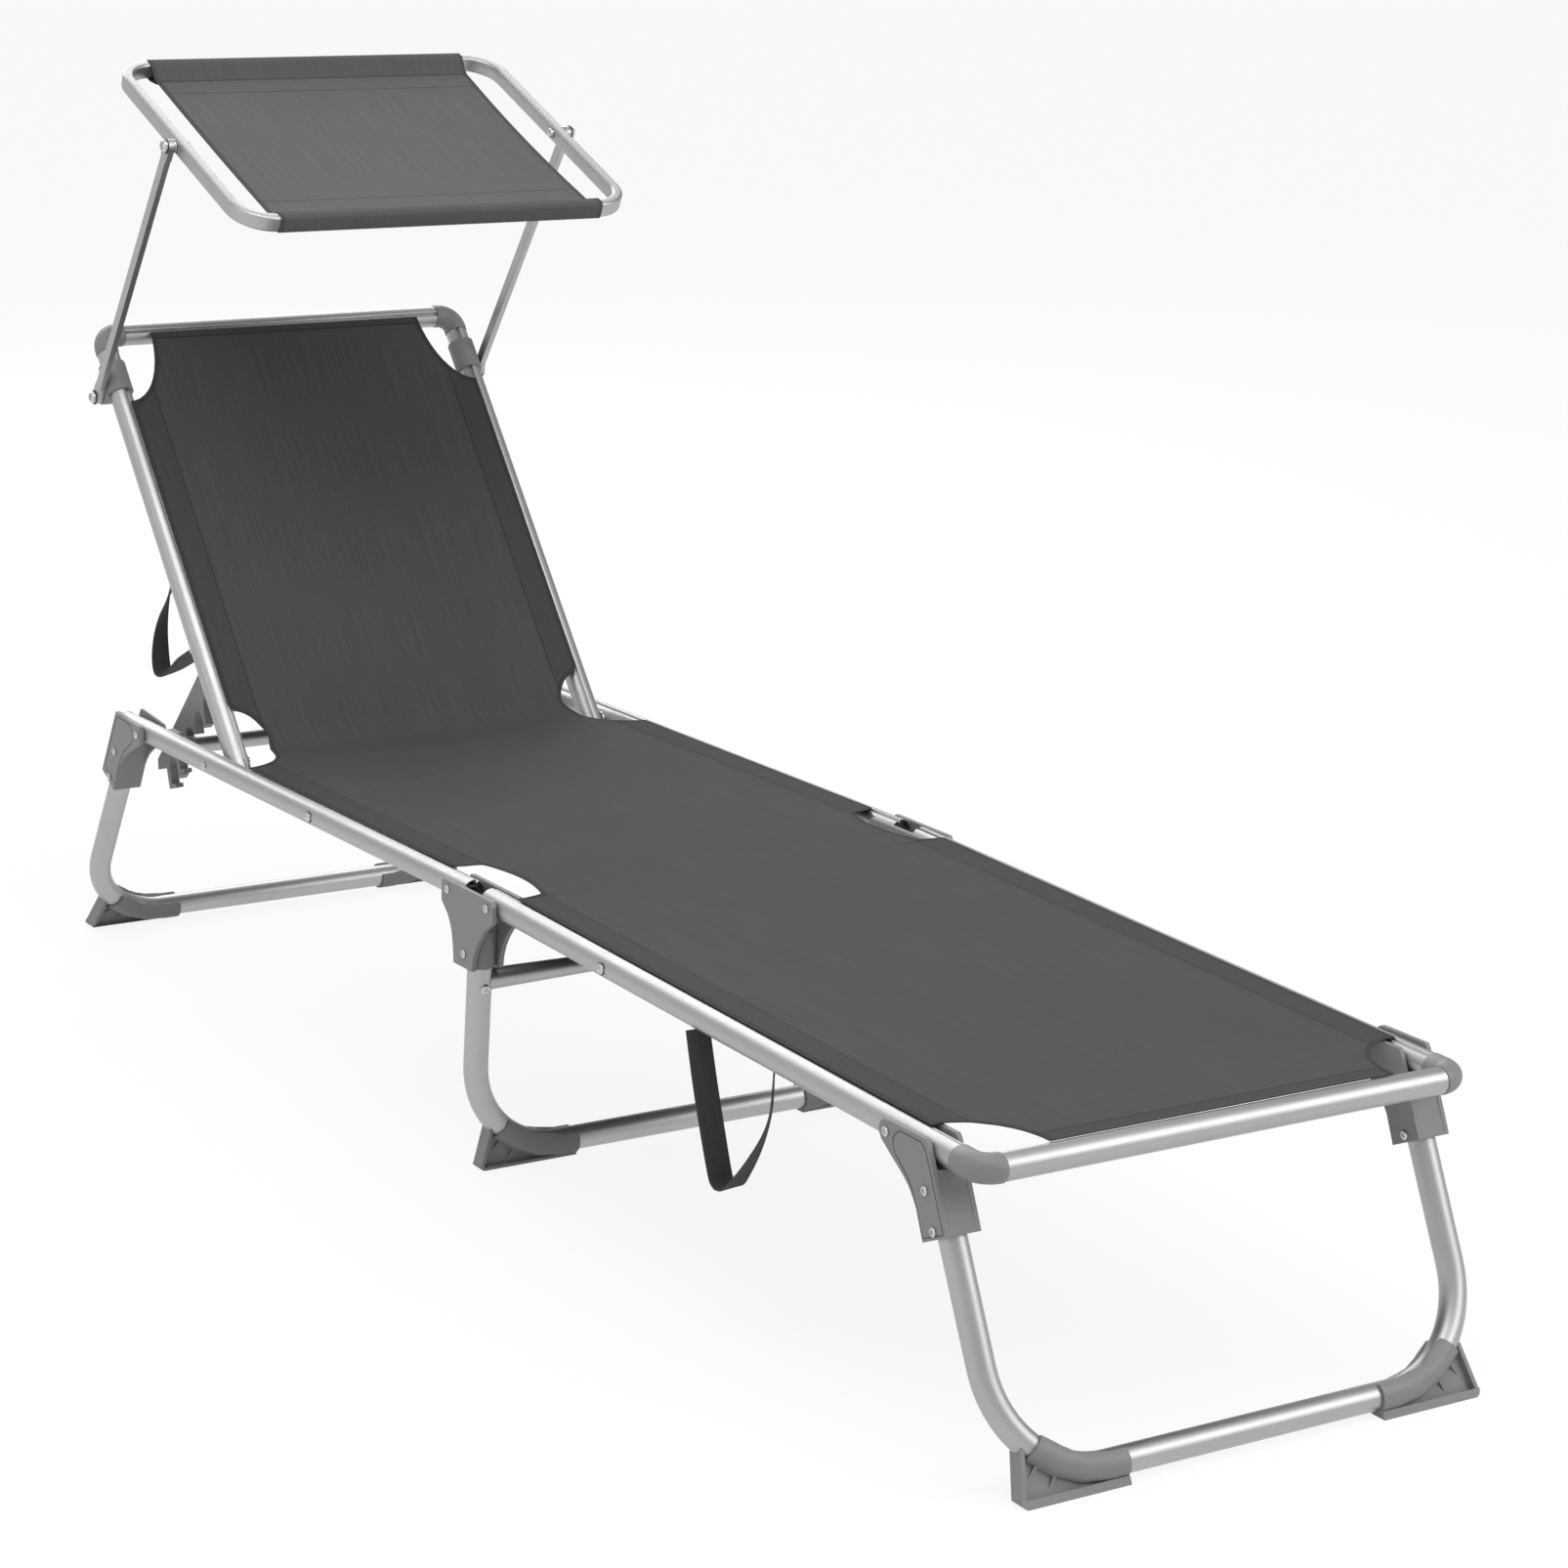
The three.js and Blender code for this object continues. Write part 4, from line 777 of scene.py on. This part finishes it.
def notch(distance, cut):
    """How far a corner cut comes in from the side edge at a distance along it."""
    depth, length = cut
    if distance >= length:
        return 0.0
    return depth * math.sqrt(1 - (max(distance, 0) / length) ** 2)


def hinge_notch(c):
    """The cut at the middle joint: deepest half way, a little less at its ends, which are nearly square."""
    depth, rise, reach, end = HINGE_CUT
    distance = abs(c + HINGE_SPACING / 2)
    if distance >= reach + end:
        return 0.0
    return (depth - rise * (distance / reach) ** 2) * math.sqrt(1 - (max(0, distance - reach) / end) ** 2)


def full_width(c):
    """Half the width that the cloth has between its corner cuts."""
    share = min(1, max(0, (c - SEAT_END) / (BACK_PLACE + BACK_START - SEAT_END)))
    return SHEET_X + (BACK_SHEET_X - SHEET_X) * share


def half_width(c):
    """Half the width of the cloth at a place along it, counted from the rear hinge of the middle joint."""
    if c < SEAT_END:
        return SHEET_X - max(notch(c - FRONT_END, FRONT_CUT), hinge_notch(c), notch(SEAT_END - c, SEAT_CUT))
    narrow = (SHEET_X - SEAT_CUT[0], BACK_SHEET_X - BACK_CUT[0])
    start = BACK_PLACE + BACK_START
    if c < start:
        return narrow[0] + (narrow[1] - narrow[0]) * (c - SEAT_END) / (start - SEAT_END)
    return BACK_SHEET_X - max(notch(c - start, BACK_CUT), notch(SHEET_END - c, TOP_CUT))


def cloth_point(c, x, drop):
    """A point of the cloth: its place along and across, and how far it hangs below the tube tops."""
    rise = SHEET_RISE - drop
    if c < -HINGE_SPACING:
        return front.place(x, c + HINGE_SPACING, rise)
    if c < 0:
        return middle.place(x, c, rise)
    e = c - BACK_PLACE
    if e < -fold_reach:
        return seat.place(x, c, rise)
    if e > fold_reach:
        return back.place(x, e, rise)
    share = (e + fold_reach) / (2 * fold_reach)
    angle = share * fold_angle
    y = BACK_PLACE - fold_reach + (FOLD_RADIUS + drop) * math.sin(angle)
    z = SHEET_RISE + FOLD_RADIUS - (FOLD_RADIUS + drop) * math.cos(angle)
    return seat.place(x, y, z)


def ramp(value, low, high):
    t = min(1, max(0, (value - low) / (high - low)))
    return t * t * (3 - 2 * t)


SAG = 0.0040
FOOT_REACH, HEAD_REACH = 0.16, 0.14


def sag(c, x, width):
    """The stretched cloth hangs a little between its side tubes, and less near the bars."""
    ends = ramp(c, FRONT_END, FRONT_END + FOOT_REACH) * (1 - ramp(c, SHEET_END - HEAD_REACH, SHEET_END))
    return SAG * ends * (1 - (x / width) ** 2)


EDGE_STEPS = (0.0, 0.0008, 0.003, 0.008, 0.016, 0.026, 0.034, 0.0355)
MIDDLE_COLUMNS = 22
CORNER_STEPS = 12
LEAST_STEP = 0.0006
ROW_STEP = 0.010
OUTLINE_STEP = 0.008
SHEET_COLUMNS = 2 * len(EDGE_STEPS) + MIDDLE_COLUMNS - 2


def sheet_columns(width):
    """Places across the cloth from one side edge to the other."""
    inner = width - EDGE_STEPS[-1]
    left = [-width + step for step in EDGE_STEPS]
    centre = [-inner + 2 * inner * k / MIDDLE_COLUMNS for k in range(1, MIDDLE_COLUMNS)]
    return left + centre + [-x for x in reversed(left)]


def spread(low, high, step, *corners):
    """Places from low to high, closer together where a corner cut runs out into the side edge."""
    places = set(np.linspace(low, high, max(2, round((high - low) / step) + 1)).round(6))
    for start, length in corners:
        for k in range(CORNER_STEPS + 1):
            places.add(round(start + length * math.sin(k / CORNER_STEPS * math.pi / 2), 6))
    ordered = sorted(p for p in places if low <= p <= high)
    kept = [ordered[0]]
    for p in ordered[1:]:
        if p - kept[-1] > LEAST_STEP:
            kept.append(p)
    kept[-1] = ordered[-1]
    return kept


def gridded(columns, rows):
    """A grid, with the column and the row of each of its points."""
    obj = primitive("grid", x_subdivisions=columns, y_subdivisions=rows, size=1)
    flat = np.zeros(len(obj.data.vertices) * 3)
    obj.data.vertices.foreach_get("co", flat)
    flat = flat.reshape(-1, 3)
    column = np.rint((flat[:, 0] + 0.5) * columns).astype(int)
    row = np.rint((flat[:, 1] + 0.5) * rows).astype(int)
    return obj, list(zip(column, row))


def woven_grid(obj, points, texture, **attributes):
    """Moves a grid's points into place and stores where each lies in the weave and in the hems."""
    data = obj.data
    data.vertices.foreach_set("co", np.array(points).ravel())
    layer = data.uv_layers[0]
    layer.name = "weave"
    for loop in data.loops:
        layer.data[loop.index].uv = texture[loop.vertex_index]
    for name, values in attributes.items():
        stored = data.attributes.new(name, "FLOAT", "POINT")
        stored.data.foreach_set("value", np.array(values, dtype=float))
    data.update()


joint_front = (-HINGE_SPACING / 2 - HINGE_CUT[2], -HINGE_CUT[3])
joint_rear = (-HINGE_SPACING / 2 + HINGE_CUT[2], HINGE_CUT[3])
outline_places = spread(FRONT_END, SHEET_END, OUTLINE_STEP, (FRONT_END, FRONT_CUT[1]), joint_front,
                        joint_rear, (SEAT_END, -SEAT_CUT[1]), (BACK_PLACE + BACK_START, BACK_CUT[1]),
                        (SHEET_END, -TOP_CUT[1]))
outline = np.array([(half_width(c), c) for c in outline_places])


def edge_distance(x, c):
    """How far a point of the cloth is from the nearest side edge or corner cut."""
    low, high = outline[:-1], outline[1:]
    along = high - low
    offset = np.array((abs(x), c)) - low
    share = np.clip((offset * along).sum(1) / (along ** 2).sum(1), 0, 1)
    return float(np.sqrt(((offset - along * share[:, None]) ** 2).sum(1)).min())


TUCK, TUCK_REACH = 0.0006, 0.003
HEM_RISE, HEM_START, HEM_STOP = 0.0004, 0.0335, 0.0360


def laid_cloth(name, places, look, replaces):
    """A length of the cloth, from one place along it to another."""
    obj, order = gridded(SHEET_COLUMNS, len(places) - 1)
    points, texture, sides, edges, ends = [], [], [], [], []
    for column, row in order:
        c = places[row]
        width = half_width(c)
        x = sheet_columns(width)[column]
        side, edge = full_width(c) - abs(x), edge_distance(x, c)
        tucked = TUCK * (1 - ramp(edge, 0, TUCK_REACH)) * (width > full_width(c) - 0.002)
        doubled = HEM_RISE * (1 - ramp(side, HEM_START, HEM_STOP))
        points.append(cloth_point(c, x, sag(c, x, width) + tucked - doubled))
        texture.append((x, c))
        sides.append(side)
        edges.append(edge)
        ends.append(min(c - FRONT_END, SHEET_END - c))
    woven_grid(obj, points, texture, side=sides, edge=edges, end=ends)
    modified(obj, "SOLIDIFY", thickness=SHEET_THICKNESS, offset=0)
    dressed(obj, name, None, look, replaces, 40)
    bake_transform(obj)
    return obj


def cloth_area(places):
    area = 0.0
    for low, high in zip(places[:-1], places[1:]):
        area += (half_width(low) + half_width(high)) * (high - low)
    return area


MIDDLE_SEAM = -0.040
BACK_SEAM = 0.300
front_places = spread(FRONT_END, MIDDLE_SEAM, ROW_STEP, (FRONT_END, FRONT_CUT[1]), joint_front)
seat_places = spread(MIDDLE_SEAM, BACK_SEAM, ROW_STEP, joint_rear)
back_places = spread(BACK_SEAM, SHEET_END, ROW_STEP, (SEAT_END, -SEAT_CUT[1]),
                     (BACK_PLACE + BACK_START, BACK_CUT[1]), (SHEET_END, -TOP_CUT[1]))
front_sling = laid_cloth("front_sling", front_places, cloth,
                         ("front_fabric", "mid_fabric"))
seat_sling = laid_cloth("seat_sling", seat_places, cloth,
                        ("seat_fabric",))
back_sling = laid_cloth("back_sling", back_places, cloth,
                        ("backrest_fabric",))
for sling, places in ((front_sling, front_places), (seat_sling, seat_places), (back_sling, back_places)):
    places[-1] - places[0]
    cloth_area(places)


# Canopy cloth: a sheet with a sleeve round the tube at each end, which closes below the tube's top
SLEEVE_Y = 0.0067
SLEEVE_Z = 0.0098
SLEEVE_CORNER = 0.0042
CANOPY_SHEET_X = 0.1965
CANOPY_WAIST = 0.0020
CANOPY_SAG = 0.0045
CANOPY_LEVEL = -0.0034
CANOPY_THICKNESS = 0.0009
CANOPY_ROWS, CANOPY_COLUMNS = 26, 40


def sleeve_path(bar, end):
    """Points (y, z) of a sleeve round the flat tube, from its seam under the tube round to the sheet."""
    path = [(bar - end * 0.0255, -0.0052), (bar - end * 0.016, -0.0078), (bar - end * 0.0075, -SLEEVE_Z)]
    for sign in (-1, 1):
        for k in range(7):
            angle = math.radians(15 * k) if sign > 0 else math.radians(90 - 15 * k)
            y = SLEEVE_Y - SLEEVE_CORNER + SLEEVE_CORNER * math.cos(angle)
            z = SLEEVE_Z - SLEEVE_CORNER + SLEEVE_CORNER * math.sin(angle)
            path.append((bar + end * y, sign * z))
    path += [(bar - end * 0.0040, SLEEVE_Z), (bar - end * 0.0068, SLEEVE_Z - 0.0012),
             (bar - end * 0.0120, 0.0042), (bar - end * 0.0175, -0.0008), (bar - end * 0.0245, -0.0032)]
    return path


def canopy_sheet():
    rear, fore = sleeve_path(CANOPY_REAR, 1), sleeve_path(CANOPY_FRONT, -1)
    high, low = rear[-1][0], fore[-1][0]
    flat = [(high + (low - high) * k / CANOPY_ROWS, CANOPY_LEVEL) for k in range(1, CANOPY_ROWS)]
    path = rear + flat + fore[::-1]
    lengths = [0.0]
    for a, b in zip(path[:-1], path[1:]):
        lengths.append(lengths[-1] + math.dist(a, b))
    obj, order = gridded(CANOPY_COLUMNS, len(path) - 1)
    points, texture, sides, ends = [], [], [], []
    for column, row in order:
        share = column / CANOPY_COLUMNS * 2 - 1
        y, z = path[row]
        width = CANOPY_SHEET_X - CANOPY_WAIST * math.cos(math.pi * y / (2 * CANOPY_REAR))
        middle_y = max(0, 1 - (y / (high - 0.012)) ** 2)
        x = share * width
        points.append((x, y, z - CANOPY_SAG * middle_y * (1 - 0.4 * share ** 2)))
        texture.append((x, lengths[row]))
        sides.append(width - abs(x))
        ends.append(min(CANOPY_REAR + SLEEVE_Y - y, y - CANOPY_FRONT + SLEEVE_Y))
    woven_grid(obj, points, texture, side=sides, edge=sides, end=ends)
    editing(obj, outward)
    modified(obj, "SOLIDIFY", thickness=CANOPY_THICKNESS, offset=0)
    finished(obj, "canopy_sheet", canopy, canopy_cloth, ("canopy_fabric",), 45)


canopy_sheet()


# Carry straps
STRAP_STEPS, STRAP_COLUMNS = 72, 8
STRAP_THICKNESS = 0.0015


def strap(name, section, x, path, width, node_name):
    """A loop of webbing hanging at a distance x, along points (y, z, degrees of twist) in a section."""
    path = np.array([(x, *point) for point in path])
    padded = np.vstack([2 * path[0] - path[1], path, 2 * path[-1] - path[-2]])
    centres = []
    for t in np.linspace(0, len(path) - 1, STRAP_STEPS + 1):
        i = min(int(t), len(path) - 2)
        f = t - i
        a, b, c, d = padded[i:i + 4]
        centres.append(0.5 * (2 * b + (c - a) * f + (2 * a - 5 * b + 4 * c - d) * f * f
                              + (3 * b - a - 3 * c + d) * f ** 3))
    centres = np.array(centres)
    lengths = np.concatenate([[0], np.cumsum(np.linalg.norm(np.diff(centres[:, :3], axis=0), axis=1))])
    tangents = np.gradient(centres[:, :3], axis=0)
    obj, order = gridded(STRAP_COLUMNS, STRAP_STEPS)
    points, texture = [], []
    for column, row in order:
        tangent = Vector(tangents[row]).normalized()
        level = Vector((1, 0, 0))
        level = (level - tangent * level.dot(tangent)).normalized()
        twist = math.radians(centres[row][3])
        direction = level * math.cos(twist) + tangent.cross(level) * math.sin(twist)
        offset = (column / STRAP_COLUMNS - 0.5) * width
        points.append(Vector(centres[row][:3]) + direction * offset)
        texture.append((offset, lengths[row]))
    woven_grid(obj, points, texture)
    editing(obj, outward)
    modified(obj, "SOLIDIFY", thickness=STRAP_THICKNESS, offset=0)
    finished(obj, name, section, webbing, (node_name,))
    return obj, lengths[-1]


FRONT_WEBBING = 0.025
BACK_WEBBING = 0.022
FRONT_STRAP = ((-0.3670, -0.0134, 0), (-0.3820, -0.0600, 2), (-0.3985, -0.1040, 2), (-0.4120, -0.1370, 0),
               (-0.4180, -0.1450, 0), (-0.4270, -0.1465, 2), (-0.4400, -0.1385, 8), (-0.4700, -0.0990, 28),
               (-0.4920, -0.0560, 50), (-0.4960, -0.0134, 57))
BACK_STRAP = ((0.2390, -0.0134, -70), (0.2345, -0.0330, -62), (0.2240, -0.0640, -40), (0.2090, -0.0890, -22),
              (0.1900, -0.1070, -4), (0.1760, -0.1130, 4), (0.1700, -0.1060, 30), (0.1645, -0.0850, 48),
              (0.1550, -0.0520, 60), (0.1450, -0.0134, 64))
front_strap, front_strap_length = strap("front_carry_strap", front, -RAIL_X, FRONT_STRAP,
                                        FRONT_WEBBING, "front_strap")
back_strap, back_strap_length = strap("back_carry_strap", back, -BACK_X, BACK_STRAP,
                                      BACK_WEBBING, "backrest_strap")
STRAP_SCREW, STRAP_SCREW_DEPTH, STRAP_SCREW_DISH = 0.0036, 0.0016, 0.0006
STRAP_SCREW_PLACE = (-BACK_X - 0.0092, 0.1446, -0.0080)
STRAP_SCREW_TURN = (0, math.radians(-130), 0)
screw = headed(STRAP_SCREW, STRAP_SCREW_DEPTH, STRAP_SCREW_PLACE, STRAP_SCREW_TURN, STRAP_SCREW_DISH)
finished(screw, "back_strap_screw", back, steel)

# Floor, light and camera
FLOOR_GLOW = 0.88
floor = primitive("plane", size=60, location=(0, 0, 0))
floor.name = "floor"
floor_look, floor_tree, floor_shader = material("pale_floor", (0.86, 0.86, 0.86), Roughness=0.9)
rays = [node(floor_tree, "ShaderNodeLightPath", {}, {}, kind)
        for kind in ("Is Camera Ray", "Is Glossy Ray", "Is Transmission Ray")]
white = node(floor_tree, "ShaderNodeEmission", {}, {"Color": (1, 1, 1, 1), "Strength": 1.0})
lit = Signal(floor_tree, floor_shader.outputs[0])
seen = rays[0].at_least(rays[1]).at_least(rays[2])
blended = node(floor_tree, "ShaderNodeMixShader", {}, {0: seen * FLOOR_GLOW, 1: lit, 2: white})
floor_tree.links.new(blended.socket, floor_tree.nodes["Material Output"].inputs["Surface"])
floor.data.materials.append(floor_look)

world = bpy.data.worlds.new("studio")
bpy.context.scene.world = world
world.use_nodes = True
world_tree = world.node_tree
background = world_tree.nodes["Background"]
direction = node(world_tree, "ShaderNodeTexCoord", {}, {}, 0)
sideways = node(world_tree, "ShaderNodeSeparateXYZ", {}, {0: direction}, 0)
MIDDLE_TONE, SIDE_TONE = 0.40, 0.30
tone = MIDDLE_TONE - sideways * SIDE_TONE
world_tree.links.new(mixed(world_tree, tone, (0.30, 0.30, 0.31, 1), (1.0, 1.0, 1.0, 1)).socket,
                     background.inputs["Color"])
background.inputs["Strength"].default_value = 1.0


def lamp(name, place, aim, size, power):
    light = bpy.data.lights.new(name, "AREA")
    light.shape = "RECTANGLE"
    light.size, light.size_y = size
    light.energy = power
    obj = bpy.data.objects.new(name, light)
    bpy.context.collection.objects.link(obj)
    obj.location = place
    obj.rotation_euler = (Vector(aim) - Vector(place)).to_track_quat("-Z", "Y").to_euler()


# Name, place, the point it faces, width and height, and watts
LAMPS = (("back_softbox", (0.9, 4.6, 3.4), (0, 0, 0.4), (4.5, 2.6), 150),
         ("front_softbox", (2.6, -3.4, 2.7), (0, -0.4, 0.2), (3.4, 2.6), 100),
         ("top_softbox", (-0.5, -0.9, 3.2), (0, 0, 0.4), (2.8, 1.6), 50),
         ("left_softbox", (-3.4, 0.0, 1.5), (0, 0, 0.3), (2.4, 1.4), 10))
for row in LAMPS:
    lamp(*row)

CAMERA_AZIMUTH = math.radians(-32.58126)
CAMERA_ELEVATION = math.radians(17.03542)
CAMERA_ROLL = math.radians(1.40249)
CAMERA_DISTANCE = 4.03853
FOCAL_PIXELS = 4117.343
PICTURE_PIXELS = 1605
SHIFT_PIXELS = (32.4619, 197.3875)
SENSOR_WIDTH = 36
CAMERA_TARGET = Vector((0, -0.14337, 0.2))
toward = Vector((math.sin(CAMERA_AZIMUTH) * math.cos(CAMERA_ELEVATION),
                 -math.cos(CAMERA_AZIMUTH) * math.cos(CAMERA_ELEVATION), math.sin(CAMERA_ELEVATION)))
level = Vector((math.cos(CAMERA_AZIMUTH), math.sin(CAMERA_AZIMUTH), 0))
upright = toward.cross(level)
right = math.cos(CAMERA_ROLL) * level + math.sin(CAMERA_ROLL) * upright
up = -math.sin(CAMERA_ROLL) * level + math.cos(CAMERA_ROLL) * upright
camera_data = bpy.data.cameras.new("camera")
camera = bpy.data.objects.new("camera", camera_data)
bpy.context.collection.objects.link(camera)
camera.matrix_world = Matrix.Translation(CAMERA_TARGET + toward * CAMERA_DISTANCE) @ Matrix(
    (right, up, toward)).transposed().to_4x4()
camera_data.sensor_width = SENSOR_WIDTH
camera_data.lens = SENSOR_WIDTH * FOCAL_PIXELS / PICTURE_PIXELS
camera_data.shift_x = SHIFT_PIXELS[0] / PICTURE_PIXELS
camera_data.shift_y = SHIFT_PIXELS[1] / PICTURE_PIXELS
camera_data.clip_start = 0.05
camera_data.clip_end = 100
bpy.context.scene.camera = camera
bpy.context.scene.view_settings.view_transform = "Standard"
